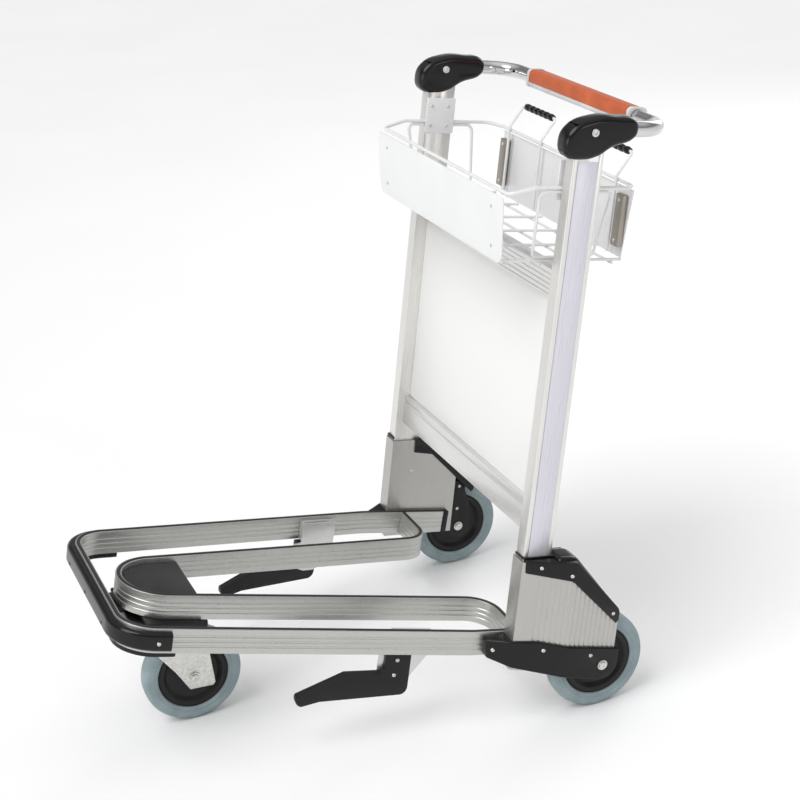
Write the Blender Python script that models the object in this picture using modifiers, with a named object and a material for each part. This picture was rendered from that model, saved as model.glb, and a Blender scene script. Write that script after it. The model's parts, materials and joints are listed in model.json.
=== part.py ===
"""Airport luggage trolley: tapered ribbon deck, two leaning columns, wire basket, sprung brake handle.

Units are metres. +Z is up, -Y is the nose, +Y the side where the user stands, +X the user's left.
The origin is on the floor, below the middle of the trolley's box.
Column work is drawn in a leaning frame (x across, n rearwards, s up the column), deck work in a
sloping frame (x across, d rearwards, h up from the deck's top edge).
"""

from math import atan2, ceil, cos, hypot, pi, radians, sin, sqrt, tan

import bmesh
import bpy
from mathutils import Matrix, Vector

GAP = 0.0003  # left between solids that touch on the real object

# Overall layout
COLUMN_LEAN = radians(9.9)
DECK_SLOPE = radians(13.4)
COLUMN_FOOT_Y = 0.1257  # where the columns' front plane meets the floor
DECK_ORIGIN = (0.196, 0.147)  # y and z of the deck frame's origin, on the rails' top edge

# Wheels
WHEEL_RADIUS = 0.085
TYRE_WIDTH = 0.032
HUB_RADIUS = 0.0605
REAR_AXLE_Y = 0.296
REAR_WHEEL_X = 0.286
CASTER_Y = -0.3588
CASTER_TRAIL = 0.0415
AXLE_RADIUS = 0.0058
AXLE_BORE = 0.0062

# Columns and what spans them
COLUMN_INNER = 0.2565
COLUMN_OUTER = 0.2825
COLUMN_DEPTH = 0.0504
COLUMN_WALL = 0.0025
COLUMN_BOTTOM = 0.215
COLUMN_TOP = 0.997
BAR_FRONT = 0.014
BAR_BACK = 0.040
LOWER_BAR = (0.335, 0.388)
UPPER_BAR = (0.724, 0.768)

# Deck rails
RAIL_THICKNESS = 0.010
RAIL_HEIGHT = 0.0418
OUTER_X = 0.2475  # centre line of the parallel part
OUTER_END = 0.067
OUTER_BEND = -0.0987
TAPER = 0.1206  # sideways narrowing per metre towards the nose
NOSE_D = -0.664
NOSE_RADIUS = 0.058
INNER_X = 0.1285
INNER_TURN = -0.0165
INNER_TAPER = 0.103
INNER_FRONT = -0.6262
NOSE_PLATE_THICKNESS = 0.0085

# Wheel casings
CASING_TOP = 0.299
CASING_BOTTOM = 0.107
CASING_WALL = 0.003
CASING_INNER = 0.253
CASING_FRONT = -0.0033
CASING_OUTER_FRONT = 0.288
CASING_OUTER = 0.312
CASING_FLARE_END = 0.080
CASING_DIAGONAL = 0.362  # n + s along the sloping cut

# Basket
RIM_RADIUS = 0.003
WIRE_RADIUS = 0.0025
RIM_S = 0.900
FLOOR_S = 0.780
BASKET_SIDE_X = 0.253

# Handle
PIVOT_N = 0.027
PIVOT_S = 0.991
TUBE_RADIUS = 0.0125
TUBE_S = 0.994
CROSSBAR_N = 0.1624
SHELL_INNER = 0.2505
SHELL_OUTER = 0.2885
GRIP_HALF = 0.176

# Rear axle in the column frame
AXLE_N = (REAR_AXLE_Y - COLUMN_FOOT_Y) * cos(COLUMN_LEAN) - WHEEL_RADIUS * sin(COLUMN_LEAN)
AXLE_S = (REAR_AXLE_Y - COLUMN_FOOT_Y) * sin(COLUMN_LEAN) + WHEEL_RADIUS * cos(COLUMN_LEAN)
COVER_FACE = CASING_OUTER + 0.0048

SIDES = (("left", 1), ("right", -1))  # the user's left is +X


# ---------------------------------------------------------------- scene helpers

def clear_scene():
    for item in list(bpy.data.objects):
        bpy.data.objects.remove(item, do_unlink=True)


def new_collection(name):
    group = bpy.data.collections.new(name)
    bpy.context.scene.collection.children.link(group)
    return group


clear_scene()
TROLLEY = new_collection("luggage_trolley")
CUTTERS = new_collection("cutters")


def new_frame(name, location, tilt=0, parent=None):
    """An empty whose Y runs rearwards and downwards by the tilt."""
    empty = bpy.data.objects.new(name, None)
    empty.location = location
    empty.rotation_euler = (-tilt, 0, 0)
    empty.parent = parent
    TROLLEY.objects.link(empty)
    return empty


COLUMN_FRAME = new_frame("column_frame", (0, COLUMN_FOOT_Y, 0), COLUMN_LEAN)
DECK_FRAME = new_frame("deck_frame", (0, *DECK_ORIGIN), DECK_SLOPE)
HANDLE_PIVOT = new_frame("handle_pivot", (0, PIVOT_N, PIVOT_S), parent=COLUMN_FRAME)
REAR_AXLES = {
    side: new_frame(f"rear_axle_frame_{side}", (sign * REAR_WHEEL_X, REAR_AXLE_Y, WHEEL_RADIUS))
    for side, sign in SIDES
}
CASTER_SWIVEL = new_frame("caster_swivel", (0, CASTER_Y, 0))
CASTER_AXLE = new_frame("caster_axle_frame", (0, CASTER_TRAIL, WHEEL_RADIUS), parent=CASTER_SWIVEL)
SIDE_VIEW = (pi / 2, 0, pi / 2)  # turns an outline's x, y, depth into n, s, x


def make_material(name, colour, roughness, metallic):
    material = bpy.data.materials.new(name)
    material.use_nodes = True
    shader = material.node_tree.nodes["Principled BSDF"]
    shader.inputs["Base Color"].default_value = (*colour, 1)
    shader.inputs["Roughness"].default_value = roughness
    shader.inputs["Metallic"].default_value = metallic
    return material


ALUMINIUM = ((0.62, 0.62, 0.61), 0.38, 0.9)
BOARD_WHITE = ((0.90, 0.90, 0.89), 0.4, 0.0)
BLACK_GLOSS = ((0.012, 0.012, 0.013), 0.18, 0.0)
BLACK_MATTE = ((0.02, 0.02, 0.021), 0.5, 0.0)
TYRE_GREY = ((0.23, 0.29, 0.31), 0.6, 0.0)
CHROME = ((0.75, 0.75, 0.76), 0.12, 1.0)
STEEL = ((0.60, 0.60, 0.57), 0.35, 1.0)
WIRE_WHITE = ((0.88, 0.88, 0.87), 0.35, 0.0)
ORANGE = ((0.72, 0.16, 0.04), 0.45, 0.0)
CLAMP_BROWN = ((0.22, 0.20, 0.18), 0.45, 0.6)
PALE_GREY = ((0.62, 0.62, 0.63), 0.35, 0.2)


def finish(item, name, look, frame=None):
    """Names a part, gives it its own material, parents it and puts it in the trolley's collection."""
    item.name = name
    item.data.name = name
    item.data.materials.clear()
    item.data.materials.append(make_material(name, *look))
    if frame:
        item.parent = frame
    for group in list(item.users_collection):
        group.objects.unlink(item)
    TROLLEY.objects.link(item)
    item.display_type = "TEXTURED"
    item.hide_render = False
    return item


def link_cutter(item):
    for group in list(item.users_collection):
        group.objects.unlink(item)
    CUTTERS.objects.link(item)
    item.display_type = "WIRE"
    item.hide_render = True
    return item


def curve_to_mesh(item):
    """Replaces a curve object by a mesh with its caps welded on."""
    CUTTERS.objects.link(item)
    bpy.context.view_layer.update()
    evaluated = item.evaluated_get(bpy.context.evaluated_depsgraph_get())
    mesh = bpy.data.meshes.new_from_object(evaluated)
    solid = bpy.data.objects.new(item.name, mesh)
    solid.matrix_world = item.matrix_world
    bpy.data.objects.remove(item, do_unlink=True)
    weld(mesh)
    return link_cutter(solid)


def weld(mesh):
    work = bmesh.new()
    work.from_mesh(mesh)
    bmesh.ops.remove_doubles(work, verts=work.verts, dist=0.00001)
    bmesh.ops.recalc_face_normals(work, faces=work.faces)
    work.to_mesh(mesh)
    work.free()


def apply_transform(item):
    item.data.transform(item.matrix_basis)
    item.matrix_basis = Matrix.Identity(4)
    return item


# ---------------------------------------------------------------- shapes

def prism(loops, low, high, side_view=False):
    """A flat outline, with any holes, given its thickness from low to high."""
    curve = bpy.data.curves.new("outline", "CURVE")
    curve.dimensions = "2D"
    curve.fill_mode = "BOTH"
    curve.extrude = (high - low) / 2
    for loop in loops:
        spline = curve.splines.new("POLY")
        spline.points.add(len(loop) - 1)
        spline.use_cyclic_u = True
        for point, (across, along) in zip(spline.points, loop):
            point.co = (across, along, 0, 1)
    item = bpy.data.objects.new("outline", curve)
    solid = curve_to_mesh(item)
    solid.data.transform(Matrix.Translation((0, 0, (low + high) / 2)))
    if side_view:
        solid.rotation_euler = SIDE_VIEW
        bpy.context.view_layer.update()
        apply_transform(solid)
    return solid


def smooth_loop(points, resolution=6):
    """A closed Bezier through the points, returned as a list of its own points."""
    curve = bpy.data.curves.new("guide", "CURVE")
    curve.dimensions = "2D"
    curve.fill_mode = "NONE"
    curve.resolution_u = resolution
    spline = curve.splines.new("BEZIER")
    spline.bezier_points.add(len(points) - 1)
    spline.use_cyclic_u = True
    for knot, (across, along) in zip(spline.bezier_points, points):
        knot.co = (across, along, 0)
        knot.handle_left_type = "AUTO"
        knot.handle_right_type = "AUTO"
    item = bpy.data.objects.new("guide", curve)
    CUTTERS.objects.link(item)
    bpy.context.view_layer.update()
    mesh = item.to_mesh()
    loop = [(vertex.co.x, vertex.co.y) for vertex in mesh.vertices]
    item.to_mesh_clear()
    bpy.data.objects.remove(item, do_unlink=True)
    return loop


def arc(centre, radius, start, end, steps):
    """Points along an arc, angles in degrees."""
    cx, cy = centre
    angles = [radians(start + (end - start) * i / steps) for i in range(steps + 1)]
    return [(cx + radius * cos(a), cy + radius * sin(a)) for a in angles]


def box(low, high):
    work = bmesh.new()
    bmesh.ops.create_cube(work, size=1)
    size = [b - a for a, b in zip(low, high)]
    middle = [(a + b) / 2 for a, b in zip(low, high)]
    bmesh.ops.scale(work, vec=size, verts=work.verts)
    bmesh.ops.translate(work, vec=middle, verts=work.verts)
    mesh = bpy.data.meshes.new("box")
    work.to_mesh(mesh)
    work.free()
    return link_cutter(bpy.data.objects.new("box", mesh))


def cylinder(start, end, radius, sides=24):
    """A capped cylinder between two points."""
    start, end = Vector(start), Vector(end)
    run = end - start
    work = bmesh.new()
    bmesh.ops.create_cone(work, cap_ends=True, segments=sides, radius1=radius, radius2=radius, depth=run.length)
    turn = Vector((0, 0, 1)).rotation_difference(run).to_matrix().to_4x4()
    bmesh.ops.transform(work, matrix=Matrix.Translation((start + end) / 2) @ turn, verts=work.verts)
    mesh = bpy.data.meshes.new("cylinder")
    work.to_mesh(mesh)
    work.free()
    return link_cutter(bpy.data.objects.new("cylinder", mesh))


def turned(profile, steps, centre=(0, 0, 0)):
    """A closed (radius, x) profile turned about an X axis through the centre."""
    work = bmesh.new()
    corners = [work.verts.new((radius, 0, along)) for radius, along in profile]
    for first, second in zip(corners, corners[1:] + corners[:1]):
        work.edges.new((first, second))
    mesh = bpy.data.meshes.new("turned")
    work.to_mesh(mesh)
    work.free()
    item = link_cutter(bpy.data.objects.new("turned", mesh))
    screw = item.modifiers.new("Screw", "SCREW")
    screw.steps = steps
    screw.render_steps = steps
    screw.use_merge_vertices = True
    screw.merge_threshold = 0.00001
    apply_modifiers(item)
    weld(item.data)
    item.data.transform(Matrix.Rotation(pi / 2, 4, "Y"))
    item.location = centre
    return item


def apply_modifiers(item):
    bpy.context.view_layer.update()
    evaluated = item.evaluated_get(bpy.context.evaluated_depsgraph_get())
    mesh = bpy.data.meshes.new_from_object(evaluated)
    item.modifiers.clear()
    item.data = mesh
    return item


def combine(item, other, operation):
    """Boolean of two solids; the second is used up."""
    cut = item.modifiers.new("Boolean", "BOOLEAN")
    cut.operation = operation
    cut.object = other
    apply_modifiers(item)
    bpy.data.objects.remove(other, do_unlink=True)
    return item


def cut(item, *others):
    for other in others:
        combine(item, other, "DIFFERENCE")
    return item


def join(item, *others):
    for other in others:
        combine(item, other, "UNION")
    return item


def common(item, *others):
    for other in others:
        combine(item, other, "INTERSECT")
    return item


def round_edges(item, width, segments=2, sharper_than=30):
    bevel = item.modifiers.new("Bevel", "BEVEL")
    bevel.width = width
    bevel.segments = segments
    bevel.limit_method = "ANGLE"
    bevel.angle_limit = radians(sharper_than)
    bevel.use_clamp_overlap = True
    apply_modifiers(item)
    weld(item.data)
    return item


def shade_round(item, angle=35):
    item.data.shade_smooth()
    item.data.set_sharp_from_angle(angle=radians(angle))
    return item


def rounded_path(corners, step=12):
    """Turns (point, radius) corners into a path whose corners are arcs, a point every few degrees."""
    path = [Vector(corners[0][0])]
    for (before, _), (corner, radius), (after, _) in zip(corners, corners[1:], corners[2:]):
        corner = Vector(corner)
        back = (Vector(before) - corner).normalized()
        ahead = (Vector(after) - corner).normalized()
        half = back.angle(ahead) / 2
        centre = corner + (back + ahead).normalized() * (radius / sin(half))
        first = (corner + back * (radius / tan(half)) - centre).normalized()
        last = (corner + ahead * (radius / tan(half)) - centre).normalized()
        count = max(1, ceil((pi - 2 * half) / radians(step)))
        for i in range(count + 1):
            path.append(centre + first.slerp(last, i / count) * radius)
    path.append(Vector(corners[-1][0]))
    return path


def mirrored(points):
    """The points followed by their mirror images in X, in reverse order."""
    return points + [(-x, *rest) for x, *rest in reversed(points)]


def swept(path, profile, closed=False):
    """A closed (across, up) profile carried along a flat path."""
    shape = bpy.data.curves.new("profile", "CURVE")
    shape.dimensions = "2D"
    ring = shape.splines.new("POLY")
    ring.points.add(len(profile) - 1)
    ring.use_cyclic_u = True
    for point, (across, up) in zip(ring.points, profile):
        point.co = (across, up, 0, 1)
    guide = bpy.data.objects.new("profile", shape)
    CUTTERS.objects.link(guide)
    curve = bpy.data.curves.new("sweep", "CURVE")
    curve.dimensions = "3D"
    curve.twist_mode = "Z_UP"
    curve.bevel_mode = "OBJECT"
    curve.bevel_object = guide
    curve.use_fill_caps = not closed
    spline = curve.splines.new("POLY")
    spline.points.add(len(path) - 1)
    spline.use_cyclic_u = closed
    for point, place in zip(spline.points, path):
        point.co = (*place, 1)
    solid = curve_to_mesh(bpy.data.objects.new("sweep", curve))
    bpy.data.objects.remove(guide, do_unlink=True)
    return solid


def wire(path, radius, closed=False, resolution=2):
    """A round wire or tube along a path."""
    curve = bpy.data.curves.new("wire", "CURVE")
    curve.dimensions = "3D"
    curve.bevel_depth = radius
    curve.bevel_resolution = resolution
    curve.use_fill_caps = not closed
    spline = curve.splines.new("POLY")
    spline.points.add(len(path) - 1)
    spline.use_cyclic_u = closed
    for point, place in zip(spline.points, path):
        point.co = (*place, 1)
    return curve_to_mesh(bpy.data.objects.new("wire", curve))


# ---------------------------------------------------------------- deck

def outer_path(offset=0.0):
    """Half of the outer rail's centre line, from its rear end to the nose, moved outwards."""
    slant = hypot(1, TAPER)
    bend_x = OUTER_X + offset
    nose_d = NOSE_D - offset
    corner_x = OUTER_X - TAPER * (OUTER_BEND - nose_d) + offset * slant
    return [
        ((bend_x, OUTER_END, 0), 0),
        ((bend_x, OUTER_BEND, 0), 0.060),
        ((corner_x, nose_d, 0), NOSE_RADIUS + offset),
    ]


def both_halves(half):
    """A path from the left end, round the nose, to the right end."""
    other = [((-x, d, h), radius) for (x, d, h), radius in reversed(half)]
    return rounded_path(half + other)


def inner_path():
    leg_x = INNER_X - INNER_TAPER * (INNER_TURN - INNER_FRONT)
    half = [
        ((OUTER_X - RAIL_THICKNESS / 2 - GAP, INNER_TURN, 0), 0),
        ((INNER_X, INNER_TURN, 0), 0.048),
        ((leg_x, INNER_FRONT, 0), leg_x / tan(pi / 4 - atan2(INNER_TAPER, 1) / 2) * 0.985),
    ]
    other = [((-x, d, h), radius) for (x, d, h), radius in reversed(half)]
    return rounded_path(half + other)


def ribbon_profile():
    """The rail's section: a groove on top for the edging, and shallow grooves along both faces."""
    half = RAIL_THICKNESS / 2
    groove_half = 0.0028
    groove_depth = 0.0025
    flute_depth = 0.0008
    flutes = 3
    pitch = 0.0085
    first = -0.0105
    right = [(half, 0)]
    for i in range(flutes):
        top = first - i * pitch
        right += [(half, top), (half - flute_depth, top - 0.001),
                  (half - flute_depth, top - 0.0032), (half, top - 0.0042)]
    right.append((half, -RAIL_HEIGHT))
    left = [(-across, up) for across, up in reversed(right)]
    groove = [(-groove_half, 0), (-groove_half, -groove_depth), (groove_half, -groove_depth), (groove_half, 0)]
    return right + left + groove


def edging_profile():
    return [(0.0025, -0.0022), (0.0025, 0.0006), (0.0012, 0.0012), (-0.0012, 0.0012),
            (-0.0025, 0.0006), (-0.0025, -0.0022)]


def make_rails():
    paths = {"outer": both_halves(outer_path()), "inner": inner_path()}
    for name, path in paths.items():
        finish(swept(path, ribbon_profile()), f"{name}_rail", ALUMINIUM, DECK_FRAME)
        finish(swept(path, edging_profile()), f"{name}_rail_edging", BLACK_MATTE, DECK_FRAME)


def make_rail_end_caps():
    for side, sign in SIDES:
        cap = box((OUTER_X - 0.0052, OUTER_END + GAP, -0.0425), (OUTER_X + 0.0048, OUTER_END + 0.0115, 0.0008))
        round_edges(cap, 0.0015)
        mirror_to(cap, sign)
        finish(cap, f"rail_end_cap_{side}", BLACK_MATTE, DECK_FRAME)


def mirror_to(item, sign):
    """Mirrors a left-hand solid to the right-hand side when the sign is -1."""
    if sign < 0:
        item.data.transform(Matrix.Scale(-1, 4, (1, 0, 0)))
        item.data.flip_normals()
    return item


def make_nose_bumper():
    """A moulding round the outside of the nose, with a rounded section."""
    tip_d = NOSE_D + 0.072
    inner_face = RAIL_THICKNESS / 2 + GAP
    half = outer_path(inner_face)
    bend = Vector(half[1][0])
    corner = Vector(half[2][0])
    ahead = (corner - bend).normalized()
    tip = bend + ahead * ((tip_d - bend.y) / ahead.y)
    start = [((tip.x, tip.y, 0), 0), half[2]]
    profile = [(0, -0.035), (-0.006, -0.035), (-0.010, -0.0325), (-0.0125, -0.0265), (-0.0125, -0.0125),
               (-0.010, -0.006), (-0.006, -0.0035), (0, -0.004)]
    bumper = swept(both_halves(start), profile)
    finish(shade_round(bumper, 50), "nose_bumper", BLACK_GLOSS, DECK_FRAME)


def make_nose_plate():
    """The black plate under the nose: a band under the outer rail and a tongue that carries the caster."""
    lip, band = 0.004, 0.004
    neck_x, tongue_x = 0.030, 0.094
    shoulder_d = NOSE_D + 0.062
    wing_d = NOSE_D + 0.084
    tongue_d = NOSE_D + 0.156
    bottom = -RAIL_HEIGHT - NOSE_PLATE_THICKNESS
    corner, radius = outer_path(lip)[2]
    wing_x = corner[0] + TAPER * (wing_d - corner[1])
    outline = [((tongue_x, tongue_d), 0), ((tongue_x, wing_d), 0.003), ((wing_x - 0.004, wing_d), 0.004),
               (corner[:2], radius)]
    flat = [((x, d, 0), turn) for (x, d), turn in outline]
    other = [((-x, d, h), turn) for (x, d, h), turn in reversed(flat)]
    loop = [(point.x, point.y) for point in rounded_path(flat + other)]
    plate = prism([loop], bottom, -RAIL_HEIGHT - GAP)
    corner, radius = outer_path(-band)[2]
    past_d = wing_d + 0.010
    past_x = corner[0] + TAPER * (past_d - corner[1])
    middle_d = (corner[1] + shoulder_d) / 2
    window = [((neck_x, middle_d, 0), 0), ((neck_x, corner[1], 0), 0.004), (corner, radius),
              ((past_x, past_d, 0), 0.002), ((tongue_x, past_d, 0), 0.002), ((tongue_x, shoulder_d, 0), 0.006),
              ((neck_x, shoulder_d, 0), 0.006), ((neck_x, middle_d, 0), 0)]
    hole = [(point.x, point.y) for point in rounded_path(window)[:-1]]
    for sign in (1, -1):
        cut(plate, mirror_to(prism([hole], bottom - 0.002, -RAIL_HEIGHT + 0.002), sign))
    finish(plate, "nose_plate", BLACK_MATTE, DECK_FRAME)


def make_front_pad():
    """The black panel that fills the front of the inner rail's loop."""
    inset = RAIL_THICKNESS / 2 + GAP
    rear_d = NOSE_D + 0.154
    path = inner_path()
    inside = []
    for before, point, after in zip(path, path[1:], path[2:]):
        run = (after - before).normalized()
        inward = Vector((-run.y, run.x, 0))
        place = point - inward * inset
        if place.y < rear_d:
            inside.append((place.x, place.y))
    edge_x = INNER_X - INNER_TAPER * (INNER_TURN - rear_d) - inset * hypot(1, INNER_TAPER)
    loop = [(edge_x, rear_d)] + inside + [(-edge_x, rear_d)]
    pad = prism([loop], -0.016, -0.009)
    finish(pad, "front_pad", BLACK_MATTE, DECK_FRAME)


def deck_z(y, h):
    """World height of a deck-frame level above a world y."""
    return DECK_ORIGIN[1] + (DECK_ORIGIN[0] - y) * tan(DECK_SLOPE) + h / cos(DECK_SLOPE)


def make_caster_mount():
    """A wedge box under the nose plate, with the caster's bearing housing below it."""
    front_y, rear_y = CASTER_Y - 0.062, CASTER_Y + 0.066
    top_h = -RAIL_HEIGHT - NOSE_PLATE_THICKNESS - GAP
    bottom = WHEEL_RADIUS + 0.105
    outline = [(front_y, deck_z(front_y, top_h)), (rear_y, deck_z(rear_y, top_h)), (rear_y, bottom + 0.008),
               (rear_y - 0.018, bottom), (front_y + 0.018, bottom), (front_y, bottom + 0.012)]
    body = prism([outline], -0.066, 0.066, side_view=True)
    round_edges(body, 0.003)
    housing = cylinder((0, CASTER_Y, bottom - 0.0065), (0, CASTER_Y, bottom + 0.004), 0.027, 28)
    bore = cylinder((0, CASTER_Y, bottom - 0.02), (0, CASTER_Y, bottom + 0.019), 0.0084, 20)
    join(body, housing)
    cut(body, bore)
    finish(body, "caster_mount", BLACK_MATTE)


def make_arms():
    """Aluminium brackets on the outer rail, and the black arms that hang from them."""
    bracket_d, plate, stand_off = -0.2167, 0.004, 0.0165
    rail_x = OUTER_X - TAPER * (OUTER_BEND - bracket_d)
    face = RAIL_THICKNESS / 2 + GAP
    web = face + stand_off - plate
    turn = Matrix.Rotation(-atan2(TAPER, 1), 4, "Z")
    tab = (-0.015, 0.051)
    below = -RAIL_HEIGHT - 0.0012
    web_outline = [(tab[0], -0.006), (tab[1], -0.006), (tab[1], -0.054), (0.024, -0.096), (0.016, -0.100),
                   (-0.004, -0.100), (-0.030, -0.090), (-0.030, -0.046), (tab[0], below)]
    arm_outline = (
        [(-0.022, below), (0.020, below), (0.022, -0.103)]
        + arc((0.008, -0.105), 0.014, 0, -82, 4)
        + [(-0.123, -0.132)]
        + arc((-0.150, -0.128), 0.0135, -100, -200, 6)
        + [(-0.087, -0.083), (-0.027, -0.080), (-0.021, -0.076)])
    for side, sign in SIDES:
        bracket = prism([web_outline], -web - plate, -web, side_view=True)
        join(bracket, box((-web - 0.001, tab[0], -0.040), (-face, tab[0] + plate, -0.006)))
        join(bracket, box((-face - plate, tab[0] + 0.001, -0.040), (-face, tab[1], -0.006)))
        arm = prism([arm_outline], -web + GAP, -web + 0.0135, side_view=True)
        round_edges(arm, 0.0018)
        for name, item, look in (("arm_bracket", bracket, ALUMINIUM), ("nesting_arm", arm, BLACK_MATTE)):
            item.data.transform(Matrix.Translation((rail_x, bracket_d, 0)) @ turn)
            mirror_to(item, sign)
            finish(item, f"{name}_{side}", look, DECK_FRAME)


# ---------------------------------------------------------------- wheel casings

def casing_plan():
    """The extrusion's section: a front wall, a short inner wall and a fluted, flared outer wall."""
    inner_rear = 0.134
    rear = 0.174
    wall = CASING_WALL
    flute_depth = 0.0009
    flute_start, pitch, count = 0.026, 0.0088, 17
    flare = (CASING_OUTER - CASING_OUTER_FRONT) / (CASING_FLARE_END - CASING_FRONT)

    def skin(n):
        return CASING_OUTER_FRONT + flare * (min(n, CASING_FLARE_END) - CASING_FRONT)

    outside = [(CASING_INNER, CASING_FRONT), (skin(CASING_FRONT), CASING_FRONT)]
    for i in range(count):
        n = flute_start + i * pitch
        outside += [(skin(n), n), (skin(n + 0.0015) - flute_depth, n + 0.0015),
                    (skin(n + 0.004) - flute_depth, n + 0.004), (skin(n + 0.0055), n + 0.0055)]
    outside += [(skin(rear), rear)]
    inside = [(skin(rear) - wall, rear), (skin(CASING_FLARE_END) - wall, CASING_FLARE_END),
              (CASING_OUTER_FRONT - wall - 0.0005, CASING_FRONT + wall), (CASING_INNER + wall, CASING_FRONT + wall),
              (CASING_INNER + wall, inner_rear), (CASING_INNER, inner_rear)]
    return outside + inside


def make_casings():
    corner_n = CASING_DIAGONAL - CASING_TOP
    rear = 0.180
    side_outline = [(-0.010, CASING_TOP), (corner_n, CASING_TOP), (rear, CASING_DIAGONAL - rear),
                    (rear, CASING_BOTTOM), (-0.010, CASING_BOTTOM)]
    axle_relief = [(0.100, 0.100), (0.185, 0.100), (0.185, 0.136), (0.100, 0.136)]
    for side, sign in SIDES:
        casing = prism([casing_plan()], CASING_BOTTOM, CASING_TOP + 0.002)
        common(casing, prism([side_outline], 0.240, 0.330, side_view=True))
        cut(casing, prism([axle_relief], 0.290, 0.330, side_view=True))
        mirror_to(casing, sign)
        finish(casing, f"casing_{side}", ALUMINIUM, COLUMN_FRAME)


def make_casing_caps():
    """Black caps over the casings' cut tops, with flanges down both walls and a raised fender."""
    flange = 0.0032
    top = CASING_TOP + 0.0032
    side_outline = (
        [(0.001, top), (0.002, 0.2815), (0.0785, 0.2695), (0.169, 0.1865), (0.1735, 0.1925)]
        + arc((0.1555, 0.2035), 0.018, -10, 45, 4)
        + [(0.084, top)])
    fender_outline = (
        [(COLUMN_DEPTH + 0.0015, 0.296), (COLUMN_DEPTH + 0.0015, 0.3055)]
        + arc((0.073, 0.286), 0.0220, 115, 48, 5)
        + arc((0.150, 0.202), 0.0225, 48, 5, 4)
        + [(0.170, 0.188)])
    plan = [(CASING_INNER - flange, -0.010), (CASING_OUTER_FRONT + flange, -0.010),
            (CASING_OUTER_FRONT + flange, CASING_FRONT), (CASING_OUTER + flange, CASING_FLARE_END),
            (CASING_OUTER + flange, 0.200), (CASING_INNER - flange, 0.200)]
    hollow = [(CASING_INNER - GAP, -0.020), (CASING_OUTER_FRONT + GAP, -0.020),
              (CASING_OUTER_FRONT + GAP, CASING_FRONT), (CASING_OUTER + GAP, CASING_FLARE_END),
              (CASING_OUTER + GAP, 0.200), (CASING_INNER - GAP, 0.200)]
    diagonal = CASING_DIAGONAL + 0.0015
    hollow_side = [(-0.030, CASING_TOP + GAP), (diagonal - CASING_TOP - GAP, CASING_TOP + GAP),
                   (0.200, diagonal - 0.200), (0.200, 0.100), (-0.030, 0.100)]
    for side, sign in SIDES:
        cap = prism([side_outline], 0.240, 0.330, side_view=True)
        common(cap, prism([plan], 0.150, 0.330))
        fender = prism([fender_outline], 0.261, 0.303, side_view=True)
        round_edges(fender, 0.006, 3, 40)
        join(cap, fender)
        room = prism([hollow], 0.100, 0.340)
        common(room, prism([hollow_side], 0.230, 0.340, side_view=True))
        column_hole = box((COLUMN_INNER - GAP, -0.020, 0.290), (COLUMN_OUTER + GAP, COLUMN_DEPTH + GAP, 0.330))
        inner_notch = box((0.240, -0.020, 0.250), (COLUMN_INNER, 0.042, 0.330))
        tyre_room = cylinder((0.2575, AXLE_N, AXLE_S), (0.308, AXLE_N, AXLE_S), WHEEL_RADIUS + 0.004, 48)
        cut(cap, room, column_hole, inner_notch, tyre_room)
        mirror_to(cap, sign)
        finish(shade_round(cap), f"casing_cap_{side}", BLACK_GLOSS, COLUMN_FRAME)


def make_lower_covers():
    """Black side covers that carry the outer end of each rear axle."""
    nose_n = -0.0405
    side_outline = (
        [(nose_n, 0.1545), (nose_n + 0.003, 0.1225), (-0.025, 0.1190), (-0.002, 0.1122), (0.130, 0.0885)]
        + arc((AXLE_N, AXLE_S), 0.028, -100, 0, 6)
        + [(AXLE_N + 0.028, 0.1400), (0.093, 0.1512), (0.034, 0.1605), (0.000, 0.1590)])
    plan = [(CASING_INNER - GAP, nose_n - 0.01), (0.266, nose_n - 0.01), (0.266, nose_n), (0.2925, CASING_FRONT),
            (COVER_FACE, CASING_FLARE_END), (COVER_FACE, 0.200), (CASING_INNER - GAP, 0.200)]
    room = [(0.200, CASING_FRONT - GAP), (CASING_OUTER_FRONT + GAP, CASING_FRONT - GAP),
            (CASING_OUTER + GAP, CASING_FLARE_END), (CASING_OUTER + GAP, 0.220), (0.200, 0.220)]
    for side, sign in SIDES:
        cover = prism([side_outline], 0.240, 0.330, side_view=True)
        common(cover, prism([plan], 0.060, 0.180))
        round_edges(cover, 0.0015, 1, 50)
        cut(cover, prism([room], 0.040, 0.200))
        cut(cover, cylinder((0.30, AXLE_N, AXLE_S), (0.34, AXLE_N, AXLE_S), AXLE_BORE, 24))
        mirror_to(cover, sign)
        finish(cover, f"lower_cover_{side}", BLACK_GLOSS, COLUMN_FRAME)


FORK_PLATE_X = (0.2585, 0.2625)


def make_fork_plates():
    """Black inner plates that carry the inner end of each rear axle."""
    outline = (
        arc((AXLE_N, AXLE_S), 0.024, -180, 0, 10)
        + [(AXLE_N + 0.018, 0.160), (0.159, 0.190)]
        + arc((0.149, 0.197), 0.010, 0, 90, 3)
        + [(0.135, 0.207)])
    for side, sign in SIDES:
        plate = prism([outline], *FORK_PLATE_X, side_view=True)
        cut(plate, cylinder((0.25, AXLE_N, AXLE_S), (0.27, AXLE_N, AXLE_S), AXLE_BORE, 24))
        mirror_to(plate, sign)
        finish(plate, f"fork_plate_{side}", BLACK_MATTE, COLUMN_FRAME)


# ---------------------------------------------------------------- wheels

def make_axle(name, low, high, frame):
    """A bolt with a head outside each supporting plate."""
    head, head_length = 0.0085, 0.0045
    profile = [(0, high), (head - 0.002, high), (head, high - 0.0015), (head, high - head_length),
               (AXLE_RADIUS, high - head_length), (AXLE_RADIUS, low + head_length), (head, low + head_length),
               (head, low + 0.0015), (head - 0.002, low), (0, low)]
    finish(shade_round(turned(profile, 24)), name, STEEL, frame)


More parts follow.
